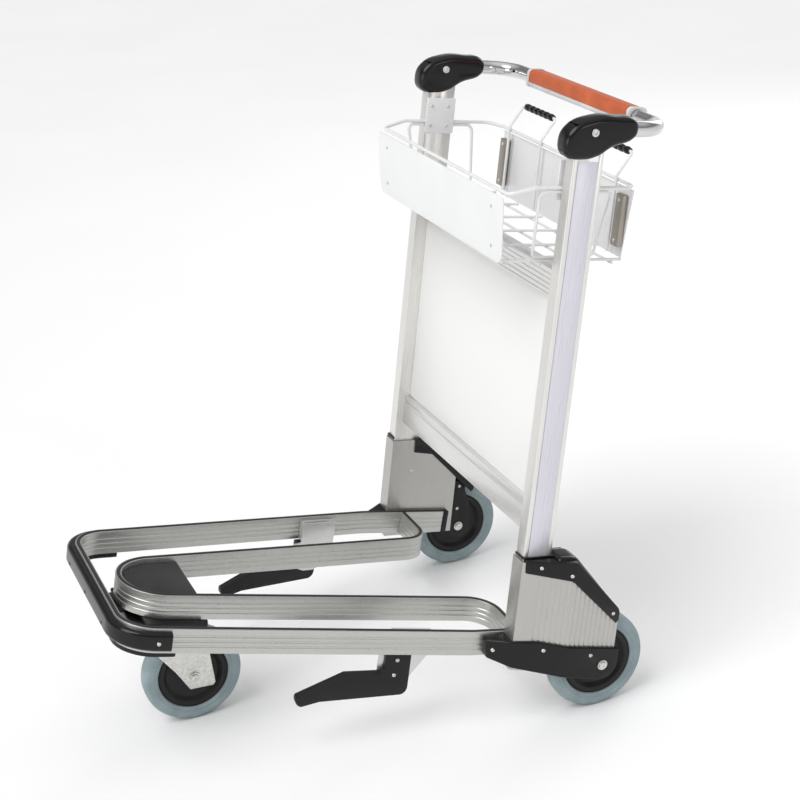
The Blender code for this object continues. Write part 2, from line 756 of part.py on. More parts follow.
def make_wheel(hub_name, tyre_name, frame):
    """A black hub with a stepped face and a grey tyre round it."""
    half = TYRE_WIDTH / 2
    boss = half + 0.0025
    rim, web = half - 0.002, 0.006
    hub_side = [(AXLE_BORE, boss), (0.014, boss), (0.016, web + 0.003), (0.030, web), (0.046, web),
                (0.052, rim), (HUB_RADIUS - 0.001, rim), (HUB_RADIUS, rim - 0.001)]
    hub = turned(hub_side + [(r, -x) for r, x in reversed(hub_side)], 32)
    finish(shade_round(hub), hub_name, BLACK_MATTE, frame)
    tread = WHEEL_RADIUS
    tyre_side = [(HUB_RADIUS + GAP, rim - 0.0005), (HUB_RADIUS + 0.004, half), (tread - 0.008, half),
                 (tread - 0.0025, half - 0.003), (tread, half - 0.009)]
    tyre = turned(tyre_side + [(r, -x) for r, x in reversed(tyre_side)], 32)
    finish(shade_round(tyre), tyre_name, TYRE_GREY, frame)


def make_rear_wheels():
    inner_end = FORK_PLATE_X[0] - GAP - 0.0045 - REAR_WHEEL_X
    outer_end = COVER_FACE + GAP + 0.0045 - REAR_WHEEL_X
    for side, sign in SIDES:
        make_wheel(f"rear_hub_{side}", f"rear_tyre_{side}", REAR_AXLES[side])
        make_axle(f"rear_axle_{side}", *sorted((sign * inner_end, sign * outer_end)), REAR_AXLES[side])


def make_caster():
    """The swivelling fork with its stem, and the wheel that trails behind it."""
    top = WHEEL_RADIUS + 0.098
    trail, low = CASTER_TRAIL, WHEEL_RADIUS
    leg_inner, plate = 0.0192, 0.0035
    leg = [(trail - 0.086, top), (trail + 0.020, top), (trail + 0.030, low + 0.043), (trail + 0.034, low - 0.019),
           (trail + 0.030, low - 0.024), (trail - 0.010, low - 0.021), (trail - 0.032, low + 0.019)]
    fork = box((-leg_inner - plate, trail - 0.086, top - 0.004), (leg_inner + plate, trail + 0.020, top))
    for face in (-leg_inner - plate, leg_inner):
        join(fork, prism([leg], face, face + plate, side_view=True))
    join(fork, cylinder((0, 0, top - 0.003), (0, 0, top + 0.022), 0.0079, 20))
    cut(fork, cylinder((-0.04, trail, low), (0.04, trail, low), AXLE_BORE, 24))
    finish(fork, "caster_fork", STEEL, CASTER_SWIVEL)
    end = leg_inner + plate + GAP + 0.0045
    make_axle("caster_axle", -end, end, CASTER_AXLE)
    make_wheel("caster_hub", "caster_tyre", CASTER_AXLE)


# ---------------------------------------------------------------- columns and board

def column_section():
    """A hollow section with a recessed band down its outer face."""
    ridge, recess = 0.007, 0.0014
    low, high = COLUMN_INNER, COLUMN_OUTER
    outside = [(low, 0), (high - 0.0015, 0), (high, 0.0015), (high, ridge), (high - recess, ridge + 0.001),
               (high - recess, COLUMN_DEPTH - ridge - 0.001), (high, COLUMN_DEPTH - ridge),
               (high, COLUMN_DEPTH - 0.0015), (high - 0.0015, COLUMN_DEPTH), (low, COLUMN_DEPTH)]
    wall = COLUMN_WALL
    inside = [(low + wall, wall), (high - wall - recess, wall), (high - wall - recess, COLUMN_DEPTH - wall),
              (low + wall, COLUMN_DEPTH - wall)]
    return [outside, inside]


PIN_RADIUS = 0.004


def make_columns():
    for side, sign in SIDES:
        column = prism(column_section(), COLUMN_BOTTOM, COLUMN_TOP)
        cut(column, cylinder((0.24, PIVOT_N, PIVOT_S), (0.30, PIVOT_N, PIVOT_S), PIN_RADIUS + 0.0004, 16))
        mirror_to(column, sign)
        finish(column, f"column_{side}", ALUMINIUM, COLUMN_FRAME)


def bar_profile(low, high, grooves, depth=0.0012):
    """A crossbar's section with square grooves across its front, given as (bottom, top) pairs."""
    front = [(BAR_FRONT, low)]
    for bottom, top in grooves:
        front += [(BAR_FRONT, bottom), (BAR_FRONT + depth, bottom), (BAR_FRONT + depth, top), (BAR_FRONT, top)]
    front.append((BAR_FRONT, high))
    return front + [(BAR_BACK, high), (BAR_BACK, low)]


def make_crossbars():
    half = COLUMN_INNER - GAP
    lower = bar_profile(*LOWER_BAR, [(0.3730, 0.3765)])
    finish(prism([lower], -half, half, side_view=True), "lower_crossbar", ALUMINIUM, COLUMN_FRAME)
    ribs = [(0.7275 + 0.0078 * i, 0.7315 + 0.0078 * i) for i in range(5)]
    upper = bar_profile(*UPPER_BAR, ribs)
    finish(prism([upper], -half, half, side_view=True), "upper_crossbar", ALUMINIUM, COLUMN_FRAME)


def make_board():
    """The white display board between the crossbars."""
    half = COLUMN_INNER - GAP
    board = box((-half, 0.0225, LOWER_BAR[1] + GAP), (half, 0.0285, UPPER_BAR[0] - GAP))
    finish(board, "display_board", BOARD_WHITE, COLUMN_FRAME)


# ---------------------------------------------------------------- basket

def make_basket_rim():
    side_front, side_rear = -0.041, 0.118
    half = [((0, -0.0825, 0.888), 0), ((0.247, -0.0825, 0.888), 0.012),
            ((BASKET_SIDE_X, side_front, RIM_S), 0.020), ((BASKET_SIDE_X, side_rear, RIM_S), 0.020),
            ((0.229, 0.1378, 0.898), 0.015), ((0, 0.1378, 0.898), 0)]
    path = rounded_path(half, step=25)
    other = [Vector((-point.x, point.y, point.z)) for point in reversed(path[1:-1])]
    finish(shade_round(wire(path + other, RIM_RADIUS, closed=True)), "basket_rim", WIRE_WHITE, COLUMN_FRAME)


def make_basket_sides():
    """A closed hoop on each side, clamped to the column along its top."""
    top_x, bottom_x = BASKET_SIDE_X + 0.0003, 0.2255
    top, bottom = RIM_S - RIM_RADIUS - WIRE_RADIUS - GAP, FLOOR_S + 2 * WIRE_RADIUS + GAP
    front, rear = -0.034, 0.089
    for side, sign in SIDES:
        corners = [(top_x, 0.030, top), (top_x, rear, top), (bottom_x, rear - 0.004, bottom),
                   (bottom_x, front + 0.014, bottom), (top_x, front, top), (top_x, 0.020, top)]
        path = rounded_path([(corner, 0.010) for corner in corners], step=30)
        hoop = wire(path, WIRE_RADIUS, closed=True)
        mirror_to(hoop, sign)
        finish(shade_round(hoop), f"basket_side_{side}", WIRE_WHITE, COLUMN_FRAME)


def make_basket_floor():
    """A flat grid of welded wires."""
    front, rear = -0.0755, 0.1375
    overlap = 0.0008
    lengthwise = (-0.225, -0.135, -0.045, 0.045, 0.135, 0.225)
    crosswise = (-0.066, -0.006, 0.056, 0.120)
    grid = None
    for x in lengthwise:
        rod = wire([(x, front, FLOOR_S), (x, rear, FLOOR_S)], WIRE_RADIUS)
        grid = join(grid, rod) if grid else rod
    for n in crosswise:
        level = FLOOR_S - 2 * WIRE_RADIUS + overlap
        join(grid, wire([(-0.229, n, level), (0.229, n, level)], WIRE_RADIUS))
    finish(grid, "basket_floor", WIRE_WHITE, COLUMN_FRAME)


def panel(outline, thickness, base, tilt):
    """An upright panel: its (x, up) outline stands on the base point and leans forwards by the tilt."""
    sheet = prism([outline], -thickness / 2, thickness / 2)
    stand = Matrix.Rotation(pi / 2, 4, "X")
    lean = Matrix.Rotation(tilt, 4, "X")
    sheet.data.transform(Matrix.Translation(base) @ lean @ stand)
    return sheet


def make_basket_panels():
    height, top_x, bottom_x, corner = 0.1055, 0.247, 0.241, 0.018
    corners = [((0, 0, 0), 0), ((bottom_x, 0, 0), corner), ((top_x, height, 0), 0.003), ((0, height, 0), 0)]
    half = [(point.x, point.y) for point in rounded_path(corners, step=25)]
    front = panel(mirrored(half[1:-1]), 0.0025, (0, -0.0783, 0.7780), radians(6.6))
    finish(front, "basket_front_panel", WIRE_WHITE, COLUMN_FRAME)
    rear_height = 0.111
    rear = [(0.216, 0), (0.229, rear_height)]
    back = panel(mirrored(rear), 0.0022, (0, 0.1426, 0.7795), 0)
    finish(back, "basket_rear_panel", WIRE_WHITE, COLUMN_FRAME)


def make_panel_strips():
    """Metal clamp strips on the rear panel's inner face."""
    for side, sign in SIDES:
        strip = box((0.1965, 0.1305, 0.797), (0.2185, 0.1412, 0.880))
        round_edges(strip, 0.002)
        mirror_to(strip, sign)
        finish(strip, f"panel_strip_{side}", CLAMP_BROWN, COLUMN_FRAME)


def make_basket_clamps():
    """Plates that clamp the basket's side wires to the columns."""
    face = BASKET_SIDE_X - RIM_RADIUS - GAP
    for side, sign in SIDES:
        plate = box((face - 0.003, -0.004, 0.880), (face, 0.050, 0.942))
        round_edges(plate, 0.001, 1)
        mirror_to(plate, sign)
        finish(plate, f"basket_clamp_{side}", WIRE_WHITE, COLUMN_FRAME)


HOOK_TOP_N, HOOK_TOP_S = 0.155, 0.942
HOOK_X = (0.070, 0.1895)


def make_hooks():
    """Bag hooks: wire loops behind the basket with beaded sleeves on their top bars."""
    leg_n = 0.1315
    low, high = HOOK_X
    beads, margin, neck, bead = 6, 0.0085, 0.0045, 0.0063
    pitch = (high - low - 2 * margin) / beads
    for side, sign in SIDES:
        corners = [((low, leg_n, 0.784), 0), ((low, leg_n, 0.905), 0.012), ((low, HOOK_TOP_N, HOOK_TOP_S), 0.007),
                   ((high, HOOK_TOP_N, HOOK_TOP_S), 0.007), ((high, leg_n, 0.905), 0.012),
                   ((high, leg_n, 0.784), 0)]
        loop = wire(rounded_path(corners, step=25), WIRE_RADIUS)
        mirror_to(loop, sign)
        finish(shade_round(loop), f"hook_loop_{side}", WIRE_WHITE, COLUMN_FRAME)
        start = low + margin
        bore = WIRE_RADIUS + 0.0003
        profile = [(neck, start)]
        for i in range(beads):
            at = start + i * pitch
            profile += [(bead, at + 0.25 * pitch), (bead, at + 0.75 * pitch), (neck, at + pitch)]
        profile = [(bore, start)] + profile + [(bore, start + beads * pitch)]
        sleeve = turned(list(reversed(profile)), 12, (0, HOOK_TOP_N, HOOK_TOP_S))
        mirror_to(sleeve, sign)
        finish(shade_round(sleeve), f"hook_sleeve_{side}", BLACK_GLOSS, COLUMN_FRAME)


# ---------------------------------------------------------------- handle and brake

def from_pivot(item):
    """Moves a solid drawn in the column frame into the handle pivot's frame."""
    item.data.transform(Matrix.Translation((0, -PIVOT_N, -PIVOT_S)))
    return item


def make_handle_shells():
    """Teardrop shells over the column tops, hollow where the columns stand in them."""
    outline = smooth_loop([
        (-0.0190, 0.970), (-0.0105, 0.9955), (0.028, 1.0135), (0.068, 1.0145), (0.0985, 1.0095), (0.1035, 0.996),
        (0.0985, 0.9825), (0.062, 0.9675), (0.040, 0.9540), (0.014, 0.9480), (-0.0120, 0.9530)])
    swing_room = [(-0.0045, 0.930), (0.0600, 0.930), (0.0545, 1.0055), (-0.0045, 1.0020)]
    inner, outer = COLUMN_INNER - 0.0007, COLUMN_OUTER + 0.0007
    mid_x = (COLUMN_INNER + COLUMN_OUTER) / 2
    for side, sign in SIDES:
        shell = prism([outline], SHELL_INNER, SHELL_OUTER, side_view=True)
        round_edges(shell, 0.009, 3, 50)
        cut(shell, prism([swing_room], inner, outer, side_view=True))
        cut(shell, cylinder((mid_x, 0.0595, TUBE_S), (mid_x, 0.13, TUBE_S), TUBE_RADIUS + GAP, 24))
        cut(shell, cylinder((0.24, PIVOT_N, PIVOT_S), (0.30, PIVOT_N, PIVOT_S), PIN_RADIUS + 0.0004, 16))
        mirror_to(from_pivot(shell), sign)
        finish(shade_round(shell), f"handle_shell_{side}", BLACK_GLOSS, HANDLE_PIVOT)


def make_handle_tube():
    mid_x = (COLUMN_INNER + COLUMN_OUTER) / 2
    half = [((mid_x, 0.062, TUBE_S), 0), ((mid_x, CROSSBAR_N, TUBE_S), 0.050)]
    other = [((-x, n, s), radius) for (x, n, s), radius in reversed(half)]
    tube = wire(rounded_path(half + other), TUBE_RADIUS - 0.0002, resolution=4)
    finish(shade_round(from_pivot(tube)), "handle_tube", CHROME, HANDLE_PIVOT)


def make_grip():
    """The orange hand pad over the crossbar, and the pale base that closes it from below."""
    bore = TUBE_RADIUS + GAP
    split = TUBE_S - 0.006
    reach = sqrt(bore ** 2 - 0.006 ** 2)
    wide, top, bottom = 0.0160, TUBE_S + 0.0152, TUBE_S - 0.0150
    pad = (
        [(CROSSBAR_N - wide, split), (CROSSBAR_N - wide, top - 0.009)]
        + arc((CROSSBAR_N - wide + 0.009, top - 0.009), 0.009, 180, 90, 4)
        + arc((CROSSBAR_N + wide - 0.009, top - 0.009), 0.009, 90, 0, 4)
        + [(CROSSBAR_N + wide, split), (CROSSBAR_N + reach, split)]
        + arc((CROSSBAR_N, TUBE_S), bore, -26, 206, 14)
        + [(CROSSBAR_N - reach, split)])
    under = split - GAP
    reach_low = sqrt(bore ** 2 - (TUBE_S - under) ** 2)
    base = (
        [(CROSSBAR_N - wide, under), (CROSSBAR_N - reach_low, under)]
        + arc((CROSSBAR_N, TUBE_S), bore, 212, 328, 8)
        + [(CROSSBAR_N + reach_low, under), (CROSSBAR_N + wide, under)]
        + arc((CROSSBAR_N + wide - 0.006, bottom + 0.006), 0.006, 0, -90, 3)
        + arc((CROSSBAR_N - wide + 0.006, bottom + 0.006), 0.006, -90, -180, 3))
    for name, outline, look in (("handle_grip", pad, ORANGE), ("grip_base", base, PALE_GREY)):
        item = prism([outline], -GRIP_HALF, GRIP_HALF, side_view=True)
        finish(shade_round(from_pivot(item)), name, look, HANDLE_PIVOT)


def make_pivot_pins():
    """Pins through the column tops that the handle shells turn on."""
    head, head_length = 0.008, 0.0025
    low, high = SHELL_INNER - GAP - head_length, SHELL_OUTER + GAP + head_length
    profile = [(0, high), (head - 0.0015, high), (head, high - 0.001), (head, high - head_length),
               (PIN_RADIUS, high - head_length), (PIN_RADIUS, low + head_length), (head, low + head_length),
               (head, low + 0.001), (head - 0.0015, low), (0, low)]
    for side, sign in SIDES:
        pin = turned(profile, 16, (0, PIVOT_N, PIVOT_S))
        mirror_to(pin, sign)
        finish(shade_round(pin), f"pivot_pin_{side}", STEEL, COLUMN_FRAME)


ROD_N = 0.0125


def make_brakes():
    """A rod down the inside of each column, with a foot that rests on the tyre."""
    mid_x = (COLUMN_INNER + COLUMN_OUTER) / 2
    foot_low, foot_high = 0.1655, 0.1845
    reach = WHEEL_RADIUS + 0.0004
    shoe = arc((AXLE_N, AXLE_S), reach, 160, 138, 5)
    foot = [(0.0065, foot_high), (0.0065, foot_low), (0.060, foot_low), (shoe[0][0], shoe[0][1])]
    foot += shoe[1:] + [(0.096, foot_high), (0.090, foot_high + 0.004), (0.030, foot_high + 0.004)]
    for side, sign in SIDES:
        rod = prism([foot], 0.2655, 0.2860, side_view=True)
        join(rod, cylinder((mid_x, ROD_N, 0.175), (mid_x, ROD_N, 0.984), 0.004, 12))
        mirror_to(rod, sign)
        finish(rod, f"brake_rod_{side}", STEEL, COLUMN_FRAME)


def main():
    make_rails()
    make_rail_end_caps()
    make_nose_bumper()
    make_nose_plate()
    make_front_pad()
    make_caster_mount()
    make_arms()
    make_casings()
    make_casing_caps()
    make_lower_covers()
    make_fork_plates()
    make_rear_wheels()
    make_caster()
    make_columns()
    make_crossbars()
    make_board()
    make_basket_rim()
    make_basket_sides()
    make_basket_floor()
    make_basket_panels()
    make_panel_strips()
    make_basket_clamps()
    make_hooks()
    make_handle_shells()
    make_handle_tube()
    make_grip()
    make_pivot_pins()
    make_brakes()


main()
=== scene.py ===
"""Looks of an airport luggage trolley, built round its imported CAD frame.

Units are metres, +Z is up, -Y is the nose and +X the user's left. Column work is drawn in a leaning
frame (x across, n rearwards, s up the column), deck work in a sloping frame (x across, d rearwards, h
up from the deck's top edge). Each piece is placed by its frame's matrix and rides on its CAD body.
"""

import json
from math import atan2, ceil, cos, hypot, pi, radians, sin, sqrt, tan

import bmesh
import bpy
from mathutils import Matrix, Vector


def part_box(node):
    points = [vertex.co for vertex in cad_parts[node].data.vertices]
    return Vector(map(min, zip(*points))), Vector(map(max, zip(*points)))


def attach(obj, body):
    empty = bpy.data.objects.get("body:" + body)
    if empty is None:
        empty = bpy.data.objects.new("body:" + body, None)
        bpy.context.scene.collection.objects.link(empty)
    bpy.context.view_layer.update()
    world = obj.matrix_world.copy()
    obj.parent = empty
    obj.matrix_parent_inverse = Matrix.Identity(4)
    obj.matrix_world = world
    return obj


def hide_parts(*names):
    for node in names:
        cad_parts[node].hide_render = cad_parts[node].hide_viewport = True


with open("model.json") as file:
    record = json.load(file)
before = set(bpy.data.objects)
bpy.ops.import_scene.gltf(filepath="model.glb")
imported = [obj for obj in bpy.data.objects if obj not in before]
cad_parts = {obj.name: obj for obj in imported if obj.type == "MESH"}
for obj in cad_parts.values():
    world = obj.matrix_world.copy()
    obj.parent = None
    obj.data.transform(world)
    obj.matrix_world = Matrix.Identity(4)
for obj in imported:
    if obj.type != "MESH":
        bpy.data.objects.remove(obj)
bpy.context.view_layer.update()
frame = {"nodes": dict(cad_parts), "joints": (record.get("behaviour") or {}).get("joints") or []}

GAP = 0.0003
ROOT = "trolley_frame"
SIDES = (("left", 1), ("right", -1))


def middle(node):
    """The middle of a CAD node's box."""
    low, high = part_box(node)
    return (low + high) / 2


def joint(name):
    """A joint's entry in the frame."""
    return next(entry for entry in frame["joints"] if entry["name"] == name)


# ---- frames and driving sizes

LIFT_AXIS = Vector(joint("brake_left_lift")["axis"])
PIVOT = Vector(joint("handle_press")["pos_m"])
PIVOT_N, PIVOT_S = 0.027, 0.991
COLUMN_LEAN = atan2(LIFT_AXIS.y, LIFT_AXIS.z)
COLUMN_FOOT_Y = PIVOT.y - PIVOT_N * cos(COLUMN_LEAN) - PIVOT_S * sin(COLUMN_LEAN)
COLUMN = Matrix.Translation((0, COLUMN_FOOT_Y, 0)) @ Matrix.Rotation(-COLUMN_LEAN, 4, "X")
DECK_ORIGIN, DECK_SLOPE = (0, 0.196, 0.147), radians(13.4)
DECK = Matrix.Translation(DECK_ORIGIN) @ Matrix.Rotation(-DECK_SLOPE, 4, "X")
WORLD = Matrix.Identity(4)

RAIL_THICKNESS = 0.010
RAIL_HEIGHT = 0.0418
OUTER_X = 0.2475
OUTER_END = 0.067
OUTER_BEND = -0.0987
OUTER_BEND_RADIUS = 0.060
TAPER = 0.1206
NOSE_D = -0.664
NOSE_RADIUS = 0.058
INNER_X = 0.1285
INNER_TURN = -0.0165
INNER_TURN_RADIUS = 0.048
INNER_TAPER = 0.103
INNER_FRONT = -0.6262

COLUMN_INNER, COLUMN_OUTER, COLUMN_DEPTH = 0.2565, 0.2825, 0.0504
COLUMN_MIDDLE = (COLUMN_INNER + COLUMN_OUTER) / 2
CASING_TOP = 0.299
CASING_INNER = 0.253
CASING_FRONT = -0.0033
CASING_OUTER_FRONT = 0.288
CASING_OUTER = 0.312
CASING_FLARE_END = 0.080
CASING_DIAGONAL = 0.362
CASING_WALL = 0.003
CASING_BOTTOM = 0.107
FLARE = (CASING_OUTER - CASING_OUTER_FRONT) / (CASING_FLARE_END - CASING_FRONT)
COVER_THICKNESS = 0.0048
COVER_FACE = CASING_OUTER + COVER_THICKNESS

WHEEL = middle("rear_tyre_left")
WHEEL_RADIUS = WHEEL.z
AXLE_N = (WHEEL.y - COLUMN_FOOT_Y) * cos(COLUMN_LEAN) - WHEEL_RADIUS * sin(COLUMN_LEAN)
AXLE_S = (WHEEL.y - COLUMN_FOOT_Y) * sin(COLUMN_LEAN) + WHEEL_RADIUS * cos(COLUMN_LEAN)
TYRE_HALF = (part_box("rear_tyre_left")[1].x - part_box("rear_tyre_left")[0].x) / 2
HUB_RADIUS = (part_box("rear_hub_left")[1].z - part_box("rear_hub_left")[0].z) / 2

RIM_RADIUS, WIRE_RADIUS = 0.003, 0.0025
RIM_S, FLOOR_S, BASKET_SIDE_X = 0.900, 0.780, 0.253
TUBE_RADIUS, TUBE_S, CROSSBAR_N = 0.0125, 0.994, 0.1624
SHELL_INNER, SHELL_OUTER = 0.2505, 0.2885
GRIP_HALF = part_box("handle_grip")[1].x

SCREW, CAP_SCREW, PANEL_SCREW, FRONT_SCREW = 0.0034, 0.0033, 0.0030, 0.0028


# ---- materials

def new_material(name, colour, roughness, metallic=0.0):
    """A material, with its node tree and its Principled shader."""
    material = bpy.data.materials.new(name)
    material.use_nodes = True
    tree = material.node_tree
    shader = tree.nodes["Principled BSDF"]
    shader.inputs["Base Color"].default_value = (*colour, 1)
    shader.inputs["Roughness"].default_value = roughness
    shader.inputs["Metallic"].default_value = metallic
    return material, tree, shader


def noise(tree, scale, detail=3.0, stretch=(1, 1, 1)):
    """A noise texture in object space, stretched along an axis by a small factor there."""
    coordinates = tree.nodes.new("ShaderNodeTexCoord")
    mapping = tree.nodes.new("ShaderNodeMapping")
    mapping.inputs["Scale"].default_value = stretch
    tree.links.new(coordinates.outputs["Object"], mapping.inputs["Vector"])
    texture = tree.nodes.new("ShaderNodeTexNoise")
    texture.inputs["Scale"].default_value = scale
    texture.inputs["Detail"].default_value = detail
    tree.links.new(mapping.outputs["Vector"], texture.inputs["Vector"])
    return texture.outputs["Fac"]


def ramp(tree, value, low, high, start, end):
    """A colour ramp from one colour to another as the value goes from start to end."""
    node = tree.nodes.new("ShaderNodeValToRGB")
    node.color_ramp.elements[0].position = start
    node.color_ramp.elements[0].color = (*low, 1)
    node.color_ramp.elements[1].position = end
    node.color_ramp.elements[1].color = (*high, 1)
    tree.links.new(value, node.inputs["Fac"])
    return node.outputs["Color"]


def spread(tree, value, low, high, start=0.3, end=0.7):
    """Maps a value's range onto another range."""
    node = tree.nodes.new("ShaderNodeMapRange")
    settings = (("From Min", start), ("From Max", end), ("To Min", low), ("To Max", high))
    for socket, number in settings:
        node.inputs[socket].default_value = number
    tree.links.new(value, node.inputs["Value"])
    return node.outputs["Result"]


def bump(tree, shader, value, strength, distance):
    """Roughens a shader's surface by a value, up to a height in metres."""
    node = tree.nodes.new("ShaderNodeBump")
    node.inputs["Strength"].default_value = strength
    node.inputs["Distance"].default_value = distance
    tree.links.new(value, node.inputs["Height"])
    tree.links.new(node.outputs["Normal"], shader.inputs["Normal"])


def vary(tree, shader, colour, roughness):
    """Lets textures set a shader's colour and roughness."""
    tree.links.new(colour, shader.inputs["Base Color"])
    tree.links.new(roughness, shader.inputs["Roughness"])


def mix(tree, first, second, factor):
    """A blend of two colours."""
    node = tree.nodes.new("ShaderNodeMix")
    node.data_type = "RGBA"
    tree.links.new(factor, node.inputs["Factor"])
    tree.links.new(first, node.inputs["A"])
    tree.links.new(second, node.inputs["B"])
    return node.outputs["Result"]


def brushed_aluminium(name, along, tint=(0.80, 0.795, 0.78), metallic=0.9):
    """Satin anodised extrusion with fine drawn lines along one axis, and a little cloudiness."""
    material, tree, shader = new_material(name, tint, 0.34, metallic)
    stretch = [0.012 if axis == along else 1 for axis in range(3)]
    lines = noise(tree, 1300, 1, stretch)
    clouds = noise(tree, 7, 2)
    dark = tuple(channel * 0.93 for channel in tint)
    streaks = ramp(tree, lines, dark, tint, 0.32, 0.62)
    patches = ramp(tree, clouds, dark, tint, 0.35, 0.65)
    tone = mix(tree, streaks, patches, spread(tree, clouds, 0.3, 0.6))
    vary(tree, shader, tone, spread(tree, lines, 0.27, 0.43))
    bump(tree, shader, lines, 0.035, 0.0002)
    return material


def moulded_black(name, roughness, grain=0.10, colour=(0.004, 0.004, 0.0042)):
    """Moulded black plastic: fine grain, faint dust in patches, uneven gloss."""
    material, tree, shader = new_material(name, colour, roughness)
    shader.inputs["Specular IOR Level"].default_value = 0.32
    grains = noise(tree, 1400, 2)
    patches = noise(tree, 14, 5)
    dusty = tuple(channel + 0.005 for channel in colour)
    vary(tree, shader, ramp(tree, patches, colour, dusty, 0.48, 0.78),
         spread(tree, patches, roughness * 0.85, roughness * 1.35))
    bump(tree, shader, grains, grain, 0.0003)
    return material


def rubber(name, colour, roughness=0.62):
    """Matte rubber with mottled wear and a pebbled surface."""
    material, tree, shader = new_material(name, colour, roughness)
    mottle = noise(tree, 38, 6)
    pebbles = noise(tree, 700, 3)
    worn = tuple(min(1, channel * 1.22 + 0.012) for channel in colour)
    vary(tree, shader, ramp(tree, mottle, colour, worn, 0.38, 0.68),
         spread(tree, mottle, roughness - 0.08, roughness + 0.14))
    bump(tree, shader, pebbles, 0.22, 0.0004)
    return material


def powder_coat(name, colour):
    """White powder coat on wire and sheet: slight orange peel and a soft sheen."""
    material, tree, shader = new_material(name, colour, 0.36)
    peel = noise(tree, 620, 2)
    patches = noise(tree, 12, 4)
    shade = tuple(channel * 0.975 for channel in colour)
    vary(tree, shader, ramp(tree, patches, shade, colour, 0.35, 0.6),
         spread(tree, patches, 0.30, 0.42))
    shader.inputs["Coat Weight"].default_value = 0.15
    bump(tree, shader, peel, 0.12, 0.0003)
    return material


def polished_chrome(name):
    """Polished chrome with faint smudges."""
    material, tree, shader = new_material(name, (0.64, 0.64, 0.65), 0.07, 1.0)
    smudges = noise(tree, 26, 5)
    tone = ramp(tree, smudges, (0.66, 0.66, 0.67), (0.58, 0.58, 0.585), 0.4, 0.75)
    vary(tree, shader, tone, spread(tree, smudges, 0.05, 0.17, 0.4, 0.75))
    return material


def zinc(name):
    """Zinc-plated steel: crystalline spangle and a soft, uneven shine."""
    material, tree, shader = new_material(name, (0.62, 0.62, 0.59), 0.30, 1.0)
    coordinates = tree.nodes.new("ShaderNodeTexCoord")
    cells = tree.nodes.new("ShaderNodeTexVoronoi")
    cells.inputs["Scale"].default_value = 240
    tree.links.new(coordinates.outputs["Object"], cells.inputs["Vector"])
    spangle = tree.nodes.new("ShaderNodeSeparateColor")
    tree.links.new(cells.outputs["Color"], spangle.inputs["Color"])
    tone = ramp(tree, spangle.outputs["Red"], (0.60, 0.60, 0.57), (0.70, 0.70, 0.67), 0.1, 0.9)
    vary(tree, shader, tone, spread(tree, spangle.outputs["Green"], 0.24, 0.42, 0, 1))
    bump(tree, shader, noise(tree, 300, 3), 0.08, 0.0003)
    return material


def laminate(name):
    """The board's white laminate: almost smooth, with a faint wave and fine grain."""
    material, tree, shader = new_material(name, (0.84, 0.84, 0.825), 0.30)
    waves = noise(tree, 5, 1)
    grain = noise(tree, 900, 2)
    tone = ramp(tree, waves, (0.835, 0.835, 0.82), (0.85, 0.85, 0.84), 0.1, 0.9)
    vary(tree, shader, tone, spread(tree, waves, 0.28, 0.33, 0.1, 0.9))
    bump(tree, shader, grain, 0.05, 0.0002)
    return material


def soft_grip(name, colour):
    """Soft-touch grip surface: rubbed patches and a fine leather-like pebble."""
    material, tree, shader = new_material(name, colour, 0.5)
    rubbed = noise(tree, 30, 5)
    pebbles = noise(tree, 1100, 3)
    light = tuple(min(1, channel * 1.25 + 0.02) for channel in colour)
    vary(tree, shader, ramp(tree, rubbed, colour, light, 0.42, 0.75),
         spread(tree, rubbed, 0.42, 0.6))
    bump(tree, shader, pebbles, 0.25, 0.0003)
    return material


X_AXIS, Y_AXIS, Z_AXIS = 0, 1, 2
ALUMINIUM = "anodised_aluminium"

# Each finish is a material and the slot that it fills.
ALONG_X = brushed_aluminium("aluminium_drawn_across", X_AXIS), ALUMINIUM
ALONG_S = brushed_aluminium("aluminium_drawn_upwards", Z_AXIS, (0.80, 0.79, 0.765)), ALUMINIUM
# Painted shade: the casing uses a darkened copy of the same anodised aluminium, its tint lowered to
# stand in for the shade on its walls.
SHADE_PAINTED_CASING = brushed_aluminium("aluminium_casing_painted_shade", Z_AXIS, (0.50, 0.49, 0.47)), ALUMINIUM
# Painted shade: the rails use a darkened copy of the same anodised aluminium, its tint lowered to
# stand in for their dark reflections of the surroundings.
SHADE_PAINTED_RAIL = brushed_aluminium("aluminium_rail_painted_shade", Y_AXIS, (0.53, 0.53, 0.51)), ALUMINIUM
PLATE = brushed_aluminium("aluminium_plate", Y_AXIS, (0.70, 0.70, 0.69)), ALUMINIUM
LAVENDER = brushed_aluminium("lavender_band", Z_AXIS, (0.72, 0.71, 0.775), 0.25), ALUMINIUM
GLOSSY = moulded_black("black_gloss", 0.16, 0.03), "black_gloss"
SATIN = moulded_black("black_satin", 0.36, 0.12, (0.006, 0.006, 0.0062)), "black_matte"
EDGING = rubber("black_rubber", (0.010, 0.010, 0.0105), 0.5), "black_rubber"
TYRE = rubber("grey_tyre", (0.225, 0.285, 0.300)), "tyre_grey"
CHROME = polished_chrome("chrome"), "chrome"
ZINC = zinc("zinc_plate"), "zinc_steel"
WHITE = powder_coat("white_coat", (0.80, 0.805, 0.805)), "white_wire"
BOARD = laminate("white_laminate"), "board_white"
ORANGE = soft_grip("orange_pad", (0.50, 0.098, 0.026)), "orange_grip"
SILVER_BASE = soft_grip("silver_base", (0.60, 0.60, 0.60)), "pale_grey"
BROWN = brushed_aluminium("brown_strip", Z_AXIS, (0.36, 0.33, 0.29)), "clamp_brown"
PAD = EDGING[0], SATIN[1]
PLUG = SATIN[0], ZINC[1]


# ---- shapes

def link(item):
    """Puts an object in the scene."""
    bpy.context.scene.collection.objects.link(item)
    return item


def build(name, work):
    """A new object from a bmesh, which is used up."""
    mesh = bpy.data.meshes.new(name)
    work.to_mesh(mesh)
    work.free()
    return link(bpy.data.objects.new(name, mesh))


